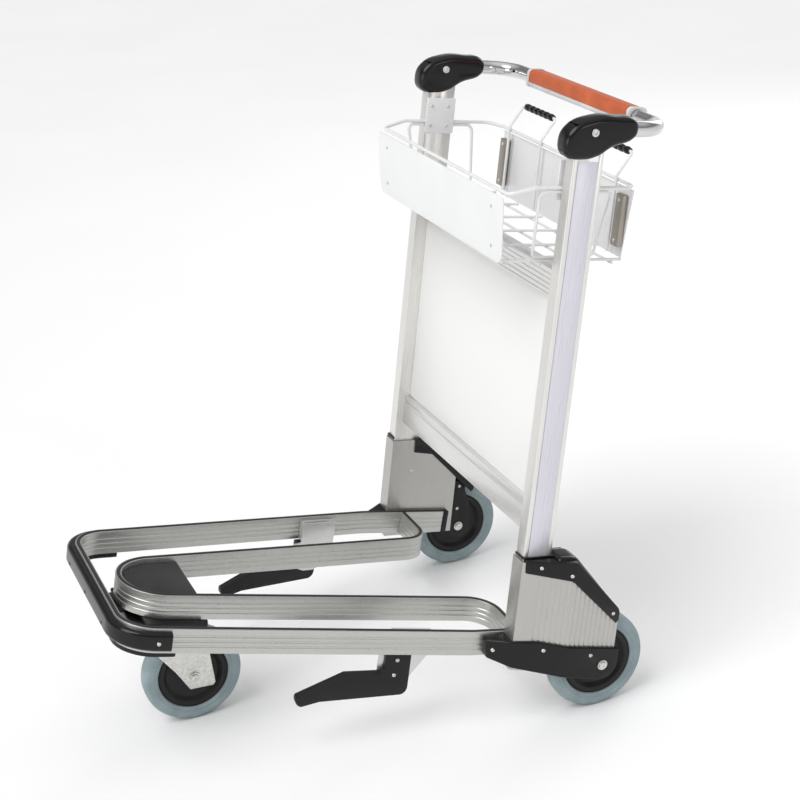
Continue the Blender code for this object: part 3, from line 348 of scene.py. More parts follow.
def weld(mesh, distance=0.00001):
    """Merges doubled points and turns every face outwards."""
    work = bmesh.new()
    work.from_mesh(mesh)
    bmesh.ops.remove_doubles(work, verts=work.verts, dist=distance)
    bmesh.ops.dissolve_degenerate(work, edges=work.edges, dist=distance)
    bmesh.ops.recalc_face_normals(work, faces=work.faces)
    work.to_mesh(mesh)
    work.free()


def evaluated_mesh(item):
    """A new mesh of an object as its curve settings or modifiers shape it."""
    bpy.context.view_layer.update()
    depsgraph = bpy.context.evaluated_depsgraph_get()
    return bpy.data.meshes.new_from_object(item.evaluated_get(depsgraph))


def curve_to_mesh(item):
    """Replaces a curve object by a mesh with its caps welded on."""
    mesh = evaluated_mesh(link(item))
    bpy.data.objects.remove(item, do_unlink=True)
    weld(mesh)
    return link(bpy.data.objects.new("piece", mesh))


def apply_modifiers(item):
    """Gives an object the mesh that its modifiers make."""
    mesh = evaluated_mesh(item)
    item.modifiers.clear()
    item.data = mesh
    return item


def add_splines(curve, paths, closed):
    """Adds a straight-edged spline through each path of flat or spatial points."""
    for path in paths:
        spline = curve.splines.new("POLY")
        spline.points.add(len(path) - 1)
        spline.use_cyclic_u = closed
        for point, spot in zip(spline.points, path):
            point.co = (*spot, *(0,) * (3 - len(spot)), 1)


def prism(loops, low, high, side_view=False):
    """Flat outlines made solid from low to high; side_view turns x, y, depth into n, s, x."""
    curve = bpy.data.curves.new("outline", "CURVE")
    curve.dimensions = "2D"
    curve.fill_mode = "BOTH"
    curve.extrude = (high - low) / 2
    add_splines(curve, loops, True)
    solid = curve_to_mesh(bpy.data.objects.new("outline", curve))
    solid.data.transform(Matrix.Translation((0, 0, (low + high) / 2)))
    if side_view:
        solid.data.transform(Matrix.Rotation(pi / 2, 4, "Z") @ Matrix.Rotation(pi / 2, 4, "X"))
    return solid


def box(low, high):
    """A block between two opposite corners."""
    work = bmesh.new()
    bmesh.ops.create_cube(work, size=1)
    bmesh.ops.scale(work, vec=[b - a for a, b in zip(low, high)], verts=work.verts)
    bmesh.ops.translate(work, vec=[(a + b) / 2 for a, b in zip(low, high)], verts=work.verts)
    return build("box", work)


def cylinder(start, end, radius, sides=48):
    """A round bar between two points."""
    start, end = Vector(start), Vector(end)
    run = end - start
    work = bmesh.new()
    bmesh.ops.create_cone(work, cap_ends=True, segments=sides, radius1=radius, radius2=radius,
                          depth=run.length)
    turn = Vector((0, 0, 1)).rotation_difference(run).to_matrix().to_4x4()
    bmesh.ops.transform(work, matrix=Matrix.Translation((start + end) / 2) @ turn, verts=work.verts)
    return build("cylinder", work)


def turned(profile, steps=96):
    """A closed (radius, along) profile turned about the X axis."""
    work = bmesh.new()
    corners = [work.verts.new((radius, 0, along)) for radius, along in profile]
    for first, second in zip(corners, corners[1:] + corners[:1]):
        work.edges.new((first, second))
    item = build("turned", work)
    screw = item.modifiers.new("Screw", "SCREW")
    screw.steps = steps
    screw.render_steps = steps
    screw.use_merge_vertices = True
    screw.merge_threshold = 0.00001
    apply_modifiers(item)
    weld(item.data)
    item.data.transform(Matrix.Rotation(pi / 2, 4, "Y"))
    return item


def combine(item, other, operation):
    """Applies a boolean with another solid, which is used up."""
    boolean = item.modifiers.new("Boolean", "BOOLEAN")
    boolean.operation = operation
    boolean.object = other
    apply_modifiers(item)
    bpy.data.objects.remove(other, do_unlink=True)
    return item


def cut(item, *others):
    """Takes solids away from an item."""
    for other in others:
        combine(item, other, "DIFFERENCE")
    return item


def common(item, other):
    """Keeps what an item shares with another solid."""
    return combine(item, other, "INTERSECT")


def bevel(item, width, segments=3, sharper_than=30):
    """Rounds the edges that turn by more than an angle in degrees."""
    modifier = item.modifiers.new("Bevel", "BEVEL")
    modifier.width = width
    modifier.segments = segments
    modifier.limit_method = "ANGLE"
    modifier.angle_limit = radians(sharper_than)
    apply_modifiers(item)
    weld(item.data)
    return item


def arc(centre, radius, start, end, steps=16):
    """Points along an arc, angles in degrees."""
    cx, cy = centre
    angles = [radians(start + (end - start) * i / steps) for i in range(steps + 1)]
    return [(cx + radius * cos(a), cy + radius * sin(a)) for a in angles]


def rounded_path(corners, step=4):
    """Turns (point, radius) corners into a path whose corners are arcs."""
    path = [Vector(corners[0][0])]
    for (before, _), (corner, radius), (after, _) in zip(corners, corners[1:], corners[2:]):
        corner = Vector(corner)
        back = (Vector(before) - corner).normalized()
        ahead = (Vector(after) - corner).normalized()
        half = back.angle(ahead) / 2
        centre = corner + (back + ahead).normalized() * (radius / sin(half))
        first = (corner + back * (radius / tan(half)) - centre).normalized()
        last = (corner + ahead * (radius / tan(half)) - centre).normalized()
        count = max(1, ceil((pi - 2 * half) / radians(step)))
        path += [centre + first.slerp(last, i / count) * radius for i in range(count + 1)]
    path.append(Vector(corners[-1][0]))
    return path


def rounded_loop(corners, step=6):
    """A closed outline whose corners are arcs, from flat (point, radius) corners."""
    ring = [corners[-1]] + corners + [corners[0]]
    solid = [((x, y, 0), radius) for (x, y), radius in ring]
    return [(point.x, point.y) for point in rounded_path(solid, step)[1:-1]]


def inset(loop, distance):
    """A smooth closed loop moved inwards along its own normals."""
    turn = sum(a[0] * b[1] - b[0] * a[1] for a, b in zip(loop, loop[1:] + loop[:1]))
    way = 1 if turn > 0 else -1
    moved = []
    for before, point, after in zip(loop[-1:] + loop[:-1], loop, loop[1:] + loop[:1]):
        run = Vector((after[0] - before[0], after[1] - before[1])).normalized() * way
        moved.append((point[0] - run.y * distance, point[1] + run.x * distance))
    return moved


def pillow(loop, low, high, depth, reach, steps=10):
    """A moulded body with a side-view outline; both faces round over by reach within depth."""
    rings = []
    for i in range(steps + 1):
        angle = radians(90 * i / steps)
        rings.append((high - depth + depth * sin(angle), reach * (1 - cos(angle))))
    rings = [(low + high - x, distance) for x, distance in reversed(rings)] + rings
    work = bmesh.new()
    layers = []
    for x, distance in rings:
        layers.append([work.verts.new((x, n, s)) for n, s in inset(loop, distance)])
    for under, over in zip(layers, layers[1:]):
        count = len(under)
        for i in range(count):
            work.faces.new((under[i], under[(i + 1) % count], over[(i + 1) % count], over[i]))
    work.faces.new(layers[0])
    work.faces.new(layers[-1])
    bmesh.ops.recalc_face_normals(work, faces=work.faces)
    return build("pillow", work)


def swept(path, profile, closed=False):
    """A closed (across, up) profile carried along a flat path."""
    shape = bpy.data.curves.new("profile", "CURVE")
    shape.dimensions = "2D"
    add_splines(shape, [profile], True)
    guide = link(bpy.data.objects.new("profile", shape))
    curve = bpy.data.curves.new("sweep", "CURVE")
    curve.dimensions = "3D"
    curve.twist_mode = "Z_UP"
    curve.bevel_mode = "OBJECT"
    curve.bevel_object = guide
    curve.use_fill_caps = not closed
    add_splines(curve, [path], closed)
    solid = curve_to_mesh(bpy.data.objects.new("sweep", curve))
    bpy.data.objects.remove(guide, do_unlink=True)
    return solid


def wires(paths, radius, closed=False, resolution=5):
    """Round wires along paths, in one object."""
    curve = bpy.data.curves.new("wire", "CURVE")
    curve.dimensions = "3D"
    curve.bevel_depth = radius
    curve.bevel_resolution = resolution
    curve.use_fill_caps = not closed
    add_splines(curve, paths, closed)
    return curve_to_mesh(bpy.data.objects.new("wire", curve))


def mirror_to(item, sign):
    """Mirrors a left-hand solid to the right-hand side when the sign is -1."""
    if sign < 0:
        item.data.transform(Matrix.Scale(-1, 4, (1, 0, 0)))
        item.data.flip_normals()
    return item


def place(item, name, finish, body=ROOT, base=WORLD, nodes=(), sharp=35):
    """Names, shades and places a piece, and ties it to its body and CAD nodes."""
    material, slot = finish
    item.name = name
    item.data.name = name
    item.data.materials.clear()
    item.data.materials.append(material)
    item.data.shade_smooth()
    item.data.set_sharp_from_angle(angle=radians(sharp))
    item.matrix_world = base
    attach(item, body)
    if nodes:
        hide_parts(*nodes)
    return item


def replace_node(item, node, finish, sharp, body=ROOT, base=COLUMN):
    """Places a piece that stands in for a CAD node."""
    return place(item, f"{node}_look", finish, body, base, [node], sharp)


def softened(node, finish, body=ROOT, width=0.0008, base=WORLD, segments=2, sharp=35):
    """A copy of a CAD node with fine rounded edges, drawn in a frame, in place of the node."""
    mesh = frame["nodes"][node].data.copy()
    item = link(bpy.data.objects.new(node, mesh))
    work = bmesh.new()
    work.from_mesh(mesh)
    bmesh.ops.remove_doubles(work, verts=work.verts, dist=0.000005)
    bmesh.ops.dissolve_limit(work, angle_limit=radians(0.6), verts=work.verts, edges=work.edges)
    work.to_mesh(mesh)
    work.free()
    mesh.transform(base.inverted())
    bevel(item, width, segments, 25)
    return replace_node(item, node, finish, sharp, body, base)


# ---- fasteners

def make_screw(name, centre, direction, radius, base=COLUMN, finish=ZINC, height=0.55):
    """A domed screw head with a sunk round socket, facing the direction; height is per radius."""
    dome = [(radius * sin(radians(a)), height * radius * cos(radians(a))) for a in range(90, 24, -8)]
    rim_radius, rim_height = dome[-1]
    profile = [(0, -0.25 * radius), (radius * 1.02, -0.25 * radius), (radius * 1.02, 0)] + dome
    profile += [(rim_radius * 0.93, rim_height), (rim_radius * 0.86, rim_height - 0.25 * radius),
                (0, rim_height - 0.30 * radius)]
    head = turned(profile, 28)
    turn = Vector((1, 0, 0)).rotation_difference(Vector(direction)).to_matrix().to_4x4()
    head.data.transform(Matrix.Translation(centre) @ turn)
    return place(head, name, finish, ROOT, base, sharp=30)


# ---- deck

def outer_path(offset=0.0):
    """The near half of the outer rail's line, or of a line further out, as rounded corners."""
    slant = hypot(1, TAPER)
    nose_d = NOSE_D - offset
    corner_x = OUTER_X - TAPER * (OUTER_BEND - nose_d) + offset * slant
    return [((OUTER_X + offset, OUTER_END, 0), 0),
            ((OUTER_X + offset, OUTER_BEND, 0), OUTER_BEND_RADIUS),
            ((corner_x, nose_d, 0), NOSE_RADIUS + offset)]


def both_halves(half, step=3):
    """A whole path from the rounded corners of its near half."""
    other = [((-x, d, h), radius) for (x, d, h), radius in reversed(half)]
    return rounded_path(half + other, step)


def inner_path():
    """The inner rail's line: legs that meet the outer rail, and a round front."""
    leg_x = INNER_X - INNER_TAPER * (INNER_TURN - INNER_FRONT)
    nose_radius = leg_x / tan(pi / 4 - atan2(INNER_TAPER, 1) / 2) * 0.985
    half = [((OUTER_X - RAIL_THICKNESS / 2 - GAP, INNER_TURN, 0), 0),
            ((INNER_X, INNER_TURN, 0), INNER_TURN_RADIUS), ((leg_x, INNER_FRONT, 0), nose_radius)]
    return both_halves(half)


def ribbon_profile():
    """The rail's section, with rounded lips beside the top groove and round-bottomed flutes."""
    half, lip = RAIL_THICKNESS / 2, 0.0008
    flutes, first_top, pitch = 3, -0.0105, 0.0085
    flute = ((0, 0), (0.0005, 0.0005), (0.0009, 0.0015), (0.0009, 0.0029), (0.0005, 0.0039),
             (0, 0.0044))
    right = arc((half - lip, -lip), lip, 90, 0, 4)
    for i in range(flutes):
        top = first_top - i * pitch
        right += [(half - depth, top - drop) for depth, drop in flute]
    right += arc((half - lip, -RAIL_HEIGHT + lip), lip, 0, -90, 4)
    left = [(-across, up) for across, up in reversed(right)]
    groove = [(-0.0029, 0), (-0.0028, -0.0025), (0.0028, -0.0025), (0.0029, 0)]
    return right + left + groove


def make_rails():
    """Both rails, with the edging strip in the top groove of each."""
    half, foot, shoulder, edge_radius = 0.0026, -0.0022, 0.0004, 0.001
    strip = [(half, foot)] + arc((half - edge_radius, shoulder), edge_radius, 0, 90, 5)
    strip += [(-across, up) for across, up in reversed(strip)]
    for name, path in (("outer", both_halves(outer_path())), ("inner", inner_path())):
        rail = swept(path, ribbon_profile())
        replace_node(rail, f"{name}_rail", SHADE_PAINTED_RAIL, 40, base=DECK)
        edging = swept(path, strip)
        place(edging, f"{name}_edging_look", EDGING, ROOT, DECK,
              [f"{name}_rail_edging"], 50)


def make_bumper():
    """The nose moulding, with round tips, and its fixings."""
    thickness, top, bottom = 0.0125, -0.004, -0.035
    inner_face = RAIL_THICKNESS / 2 + GAP
    half = outer_path(inner_face)
    bend, corner = Vector(half[1][0]), Vector(half[2][0])
    ahead = (corner - bend).normalized()
    tip = bend + ahead * ((NOSE_D + 0.072 - bend.y) / ahead.y)
    outline = [((0, top, 0), 0), ((-thickness, top, 0), 0.0065), ((-thickness, bottom, 0), 0.0075),
               ((0, bottom, 0), 0)]
    profile = [(point.x, point.y) for point in rounded_path(outline, 8)]
    path = both_halves([((tip.x, tip.y, 0), 0), half[2]])
    moulding = swept(path, list(reversed(profile)))
    bevel(moulding, 0.0045, 5, 60)
    replace_node(moulding, "nose_bumper", GLOSSY, 50, base=DECK)
    plug_d = NOSE_D - inner_face - thickness + 0.0004
    for i, x in enumerate((-0.110, 0, 0.110)):
        make_screw(f"bumper_plug_{i}", (x, plug_d, -0.0255), (0, -1, 0), SCREW, DECK, PLUG, 0.35)
    for side, sign in SIDES:
        start = bend + ahead * ((NOSE_D + 0.050 - bend.y) / ahead.y)
        centre = (sign * (start.x + 0.0122), start.y, -0.0200)
        make_screw(f"bumper_screw_{side}", centre, (sign, -TAPER, 0), SCREW, DECK)


def make_deck_parts():
    """The rails, bumper, nose parts, and the nesting arms with their brackets and screws."""
    make_rails()
    make_bumper()
    softened("nose_plate", SATIN, width=0.0012)
    softened("front_pad", PAD, width=0.0012)
    softened("caster_mount", SATIN, width=0.0006)
    for side, sign in SIDES:
        softened(f"rail_end_cap_{side}", SATIN, width=0.0004)
        softened(f"arm_bracket_{side}", PLATE, width=0.0006)
        softened(f"nesting_arm_{side}", SATIN, width=0.0004)
        for i, (d, h) in enumerate(((-0.2185, -0.0560), (-0.2205, -0.0830))):
            rail_x = OUTER_X - TAPER * (OUTER_BEND - d)
            centre = (sign * (rail_x - 0.0041), d, h)
            make_screw(f"arm_screw_{side}_{i}", centre, (sign, -TAPER, 0), SCREW, DECK)


# ---- wheels

def make_tyre(node, hub_node, body):
    """A tyre with rounded shoulders and a moulded ring, and a hub with a stepped, dished face."""
    centre = middle(node)
    half, tread = TYRE_HALF, WHEEL_RADIUS
    seat = HUB_RADIUS + GAP
    side = [(seat, half - 0.0026), (seat + 0.001, half - 0.0012), (seat + 0.0030, half - 0.0002),
            (seat + 0.0055, half), (seat + 0.0060, half - 0.0006), (seat + 0.0072, half - 0.0006),
            (seat + 0.0078, half), (tread - 0.0105, half - 0.0001)]
    side += arc((tread - 0.0095, half - 0.0095), 0.0094, 82, 12, 12)
    side += [(tread - 0.00005, half - 0.0110), (tread, 0.002)]
    tyre = turned(side + [(r, -x) for r, x in reversed(side)], 144)
    base = Matrix.Translation(centre)
    replace_node(tyre, node, TYRE, 40, body, base)
    bore, boss, rim, web = 0.0062, half + 0.0025, half - 0.002, 0.006
    face = [(bore, boss - 0.0004), (bore + 0.0004, boss), (0.0128, boss), (0.0136, boss - 0.0008),
            (0.0150, web + 0.0042), (0.0162, web + 0.0032), (0.0215, web + 0.0028),
            (0.0228, web + 0.0004), (0.0240, web), (0.0440, web), (0.0452, web + 0.0005),
            (0.0500, rim - 0.0016), (0.0515, rim - 0.0003), (0.0525, rim), (0.0575, rim),
            (0.0582, rim - 0.0007), (0.0592, rim - 0.0007), (0.0598, rim),
            (HUB_RADIUS - 0.0003, rim - 0.0002), (HUB_RADIUS, rim - 0.0009)]
    hub = turned(face + [(r, -x) for r, x in reversed(face)], 128)
    replace_node(hub, hub_node, SATIN, 30, body, base)


def make_axle(node, body, centre, low, high):
    """A bolt with a washer and a domed nut with a dimple at each end."""
    shaft, washer, nut, dimple = 0.0058, 0.0088, 0.0066, 0.0046

    def end(at, way):
        dome = [(nut * sin(radians(a)), at + way * (0.0034 + 0.0022 * cos(radians(a))))
                for a in range(10, 91, 16)]
        return ([(0.0021, at + way * dimple), (0.0024, at + way * 0.0056)] + dome
                + [(nut, at + way * 0.0013), (washer, at + way * 0.0012), (washer, at)])

    profile = [(0, high + dimple)] + end(high, 1) + [(shaft, high), (shaft, low)]
    profile += list(reversed(end(low, -1))) + [(0, low - dimple)]
    axle = turned(profile, 48)
    replace_node(axle, node, ZINC, 30, body, Matrix.Translation(centre))


def make_wheels():
    """The rear wheels and the caster, with their axles."""
    inner_end = 0.2582
    for side, sign in SIDES:
        make_tyre(f"rear_tyre_{side}", f"rear_hub_{side}", f"wheel_{side}")
        centre = middle(f"rear_tyre_{side}")
        ends = sorted((sign * (inner_end - WHEEL.x), sign * (COVER_FACE + GAP - WHEEL.x)))
        make_axle(f"rear_axle_{side}", ROOT, centre, *ends)
    make_tyre("caster_tyre", "caster_hub", "caster_wheel")
    softened("caster_fork", ZINC, "caster", width=0.0008)
    low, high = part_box("caster_fork")
    half = (high.x - low.x) / 2 + GAP
    make_axle("caster_axle", "caster", middle("caster_tyre"), -half, half)
    swivel = joint("caster_swivel")["pos_m"]
    fork_top = middle("caster_tyre").z + 0.098
    race = [(0.0205, -0.0050), (0.0212, -0.0092), (0.0240, -0.0090), (0.0252, -0.0075),
            (0.0242, -0.0035), (0.0235, 0.0002), (0.0215, 0.0002)]
    ring = turned([(radius, fork_top + up) for radius, up in race], 64)
    ring.data.transform(Matrix.Rotation(-pi / 2, 4, "Y"))
    ring.data.transform(Matrix.Translation((swivel[0], swivel[1], 0)))
    place(ring, "caster_race", ZINC, "caster")


# ---- wheel casings

def skin(n):
    """How far out the casing's outer wall is at n."""
    return CASING_OUTER_FRONT + FLARE * (min(n, CASING_FLARE_END) - CASING_FRONT)


def casing_plan():
    """The extrusion's section with round-bottomed flutes on its outer wall."""
    wall, rear, inner_rear, edge, corner = CASING_WALL, 0.174, 0.134, 0.0006, 0.0025
    flutes, first_flute, pitch = 17, 0.026, 0.0088
    flute = ((0, 0), (0.0010, 0.0006), (0.0020, 0.0009), (0.0035, 0.0009), (0.0045, 0.0006),
             (0.0055, 0))
    outside = [(CASING_INNER + edge, CASING_FRONT), (CASING_OUTER_FRONT - corner, CASING_FRONT),
               (CASING_OUTER_FRONT - 0.0008, CASING_FRONT + edge),
               (skin(CASING_FRONT + corner), CASING_FRONT + corner)]
    for i in range(flutes):
        n = first_flute + i * pitch
        outside += [(skin(n + along) - depth, n + along) for along, depth in flute]
    outside.append((skin(rear), rear))
    inside = [(skin(rear) - wall, rear), (skin(CASING_FLARE_END) - wall, CASING_FLARE_END),
              (CASING_OUTER_FRONT - wall - 0.0005, CASING_FRONT + wall),
              (CASING_INNER + wall, CASING_FRONT + wall), (CASING_INNER + wall, inner_rear),
              (CASING_INNER, inner_rear), (CASING_INNER, CASING_FRONT + edge)]
    return outside + inside


def make_casing(side, sign):
    """The extrusion, cut off at a slant and relieved over the lower cover."""
    front, rear, corner_n = -0.010, 0.180, CASING_DIAGONAL - CASING_TOP
    outline = [(front, CASING_TOP), (corner_n, CASING_TOP), (rear, CASING_DIAGONAL - rear),
               (rear, CASING_BOTTOM), (front, CASING_BOTTOM)]
    relief = [(0.100, 0.100), (0.185, 0.100), (0.185, 0.136), (0.100, 0.136)]
    casing = prism([casing_plan()], CASING_BOTTOM, CASING_TOP + 0.002)
    common(casing, prism([outline], 0.240, 0.330, side_view=True))
    cut(casing, prism([relief], 0.290, 0.330, side_view=True))
    mirror_to(casing, sign)
    replace_node(casing, f"casing_{side}", SHADE_PAINTED_CASING, 30)


def grown_plan(offset, front, rear=0.200):
    """The casing's outline seen from above, grown by an offset, from front to rear."""
    return [(CASING_INNER - offset, front), (CASING_OUTER_FRONT + offset, front),
            (CASING_OUTER_FRONT + offset, CASING_FRONT), (CASING_OUTER + offset, CASING_FLARE_END),
            (CASING_OUTER + offset, rear), (CASING_INNER - offset, rear)]


def make_casing_cap(side, sign):
    """The cap: flanges down both walls, and a glossy fender behind the column."""
    flange, top = 0.0032, CASING_TOP + 0.0032
    outline = ([(0.001, top), (0.002, 0.2815), (0.0785, 0.2695), (0.169, 0.1865), (0.1735, 0.1925)]
               + arc((0.1555, 0.2035), 0.018, -10, 45, 8) + [(0.084, top)])
    front_n = COLUMN_DEPTH + 0.0015
    fender_outline = rounded_loop([
        ((front_n, 0.270), 0.007), ((front_n, 0.3085), 0.0068), ((0.0865, 0.3075), 0.022),
        ((0.1775, 0.2075), 0.020), ((0.1500, 0.1780), 0.007)], 5)
    plan, hollow = grown_plan(flange, -0.010), grown_plan(GAP, -0.020)
    diagonal = CASING_DIAGONAL + 0.0015
    hollow_side = [(-0.030, CASING_TOP + GAP), (diagonal - CASING_TOP - GAP, CASING_TOP + GAP),
                   (0.200, diagonal - 0.200), (0.200, 0.100), (-0.030, 0.100)]
    cap = prism([outline], 0.240, 0.330, side_view=True)
    common(cap, prism([plan], 0.150, 0.330))
    bevel(cap, 0.0008, 2, 40)
    fender = pillow(fender_outline, 0.2590, 0.3050, 0.0110, 0.0060)
    for piece in (cap, fender):
        room = common(prism([hollow], 0.100, 0.340),
                      prism([hollow_side], 0.230, 0.340, side_view=True))
        column_hole = box((COLUMN_INNER - GAP, -0.020, 0.290),
                          (COLUMN_OUTER + GAP, COLUMN_DEPTH + GAP, 0.330))
        inner_notch = box((0.240, -0.020, 0.250), (COLUMN_INNER, 0.042, 0.330))
        tyre_room = cylinder((0.2575, AXLE_N, AXLE_S), (0.308, AXLE_N, AXLE_S),
                             WHEEL_RADIUS + 0.004, 96)
        cut(piece, room, column_hole, inner_notch, tyre_room)
        mirror_to(piece, sign)
    place(fender, f"fender_{side}", GLOSSY, ROOT, COLUMN, sharp=32)
    replace_node(cap, f"casing_cap_{side}", GLOSSY, 32)
    for i, (n, s) in enumerate(((0.0260, 0.2915), (0.0758, 0.2794), (0.1614, 0.2050))):
        centre = (sign * (skin(n) + flange), n, s)
        lean = FLARE if n < CASING_FLARE_END else 0
        make_screw(f"cap_screw_{side}_{i}", centre, (sign, -lean, 0), CAP_SCREW)


def make_lower_cover(side, sign):
    """The lower side cover, and a screw on each of its three faces."""
    softened(f"lower_cover_{side}", GLOSSY, width=0.0006)
    nose_n, nose_x, front_x = -0.0405, 0.266, 0.2925
    nose_lean = (front_x - nose_x) / (CASING_FRONT - nose_n)
    middle_n = 0.0448
    spots = (((0.2734, -0.0304, 0.1385), (sign, -nose_lean, 0)),
             ((skin(middle_n) + COVER_THICKNESS, middle_n, 0.1460), (sign, -FLARE, 0)),
             ((COVER_FACE, 0.1287, 0.1328), (sign, 0, 0)))
    for i, ((x, n, s), facing) in enumerate(spots):
        make_screw(f"cover_screw_{side}_{i}", (sign * x, n, s), facing, SCREW)


def make_casings():
    """On each side the casing, its cap and cover, the inner fork plate, and their screws."""
    fork_face, fork_screw_n = 0.2585, 0.1470
    for side, sign in SIDES:
        make_casing(side, sign)
        make_casing_cap(side, sign)
        make_lower_cover(side, sign)
        softened(f"fork_plate_{side}", SATIN, width=0.0005)
        for i, s in enumerate((0.1965, 0.1500)):
            make_screw(f"fork_screw_{side}_{i}", (sign * fork_face, fork_screw_n, s), (-sign, 0, 0),
                       CAP_SCREW)
        make_screw(f"casing_screw_{side}", (sign * CASING_INNER, 0.0400, 0.2370), (-sign, 0, 0),
                   SCREW)


# ---- columns, crossbars and board

def make_columns():
    """The columns, with a pale inlay down each outer face and a black collar at each foot."""
    for side, sign in SIDES:
        softened(f"column_{side}", ALONG_S, base=COLUMN, width=0.0005)
        ridge, face, inlay_foot, inlay_top = 0.0082, COLUMN_OUTER - 0.0014, 0.3030, 0.9460
        inlay = box((face, ridge, inlay_foot), (face + 0.0008, COLUMN_DEPTH - ridge, inlay_top))
        bevel(inlay, 0.0003, 2)
        mirror_to(inlay, sign)
        place(inlay, f"column_inlay_{side}", LAVENDER, ROOT, COLUMN)
        margin, foot = 0.0024, CASING_TOP + 0.0033
        collar = box((COLUMN_INNER - GAP, -margin, foot),
                     (COLUMN_OUTER + margin, COLUMN_DEPTH + margin, foot + 0.0030))
        hole = box((COLUMN_INNER - 0.01, -GAP, foot - 0.01),
                   (COLUMN_OUTER + GAP, COLUMN_DEPTH + GAP, foot + 0.02))
        bevel(cut(collar, hole), 0.0006, 2)
        mirror_to(collar, sign)
        place(collar, f"column_collar_{side}", SATIN, ROOT, COLUMN)


def make_back():
    """The columns, and the crossbars and board between them."""
    make_columns()
    for node in ("lower_crossbar", "upper_crossbar"):
        softened(node, ALONG_X, base=COLUMN, width=0.0005)
    softened("display_board", BOARD, base=COLUMN, width=0.0006)


# ---- basket

def make_basket():
    """The basket's wires, panels, clamps and fixings."""
    front = ((0, -0.0825, 0.888), 0), ((0.247, -0.0825, 0.888), 0.012)
    rear = ((0.229, 0.1378, 0.898), 0.015), ((0, 0.1378, 0.898), 0)
    sides = ((BASKET_SIDE_X, -0.041, RIM_S), 0.020), ((BASKET_SIDE_X, 0.118, RIM_S), 0.020)
    path = rounded_path([*front, *sides, *rear], 8)
    other = [Vector((-point.x, point.y, point.z)) for point in reversed(path[1:-1])]
    rim = wires([path + other], RIM_RADIUS, closed=True)
    replace_node(rim, "basket_rim", WHITE, 60)
    top, bottom = RIM_S - RIM_RADIUS - WIRE_RADIUS - GAP, FLOOR_S + 2 * WIRE_RADIUS + GAP
    hoop_x, foot_x, hoop_radius = BASKET_SIDE_X + GAP, 0.2255, 0.010
    for side, sign in SIDES:
        corners = [((sign * x, n, s), hoop_radius) for x, n, s in (
            (hoop_x, 0.030, top), (hoop_x, 0.089, top), (foot_x, 0.085, bottom),
            (foot_x, -0.020, bottom), (hoop_x, -0.034, top), (hoop_x, 0.020, top))]
        hoop = wires([rounded_path(corners, 8)], WIRE_RADIUS, closed=True)
        replace_node(hoop, f"basket_side_{side}", WHITE, 60)
    front_n, rear_n, rod_end_x = -0.0755, 0.1375, 0.229
    rods = [[(x, front_n, FLOOR_S), (x, rear_n, FLOOR_S)]
            for x in (-0.225, -0.135, -0.045, 0.045, 0.135, 0.225)]
    low = FLOOR_S - 2 * WIRE_RADIUS + 0.0004
    rods += [[(-rod_end_x, n, low), (rod_end_x, n, low)] for n in (-0.066, -0.006, 0.056, 0.120)]
    replace_node(wires(rods, WIRE_RADIUS), "basket_floor", WHITE, 60)
    for node in ("basket_front_panel", "basket_rear_panel"):
        softened(node, WHITE, base=COLUMN, width=0.0008, segments=3)
    tilt = radians(6.6)
    clamp_face = BASKET_SIDE_X - RIM_RADIUS - GAP - 0.003
    clamp_spots = [(n, s) for s in (0.893, 0.927) for n in (0.0057, 0.0365)]
    for side, sign in SIDES:
        softened(f"panel_strip_{side}", BROWN, base=COLUMN, width=0.0003)
        softened(f"basket_clamp_{side}", WHITE, base=COLUMN, width=0.0005)
        for i, (n, s) in enumerate(clamp_spots):
            make_screw(f"clamp_screw_{side}_{i}", (sign * clamp_face, n, s), (-sign, 0, 0),
                       PANEL_SCREW)
        for i, up in enumerate((0.022, 0.084)):
            centre = (sign * 0.207, -0.0783 - up * sin(tilt) - 0.0013 * cos(tilt),
                      0.7780 + up * cos(tilt))
            make_screw(f"front_screw_{side}_{i}", centre, (0, -cos(tilt), -sin(tilt)), FRONT_SCREW)
        for i, s in enumerate((0.806, 0.871)):
            centre = (sign * 0.2075, 0.1305, s)
            make_screw(f"strip_screw_{side}_{i}", centre, (0, -1, 0), PANEL_SCREW)


def make_hooks():
    """Bag hooks: a wire loop each, with a beaded sleeve on its top bar."""
    leg_n, top_n, top_s = 0.1315, 0.155, 0.942
    foot_s, bend_s, leg_bend, top_bend = 0.784, 0.905, 0.012, 0.007
    low, high = 0.070, 0.1895
    beads, steps, margin, neck, swell = 6, 10, 0.0085, 0.0045, 0.0018
    pitch = (high - low - 2 * margin) / beads
    for side, sign in SIDES:
        corners = [((low, leg_n, foot_s), 0), ((low, leg_n, bend_s), leg_bend),
                   ((low, top_n, top_s), top_bend), ((high, top_n, top_s), top_bend),
                   ((high, leg_n, bend_s), leg_bend), ((high, leg_n, foot_s), 0)]
        path = [(sign * point.x, point.y, point.z) for point in rounded_path(corners, 8)]
        replace_node(wires([path], WIRE_RADIUS), f"hook_loop_{side}", WHITE, 60)
        start = low + margin
        outside = []
        for i in range(beads):
            for step in range(steps):
                bulge = sin(pi * step / steps) ** 0.5
                outside.append((neck + swell * bulge, start + (i + step / steps) * pitch))
        outside.append((neck, start + beads * pitch))
        bore = WIRE_RADIUS + GAP
        profile = [(bore, start)] + outside + [(bore, start + beads * pitch)]
        sleeve = mirror_to(turned(list(reversed(profile)), 40), sign)
        base = COLUMN @ Matrix.Translation((0, top_n, top_s))
        replace_node(sleeve, f"hook_sleeve_{side}", GLOSSY, 50, base=base)


# ---- handle and brake

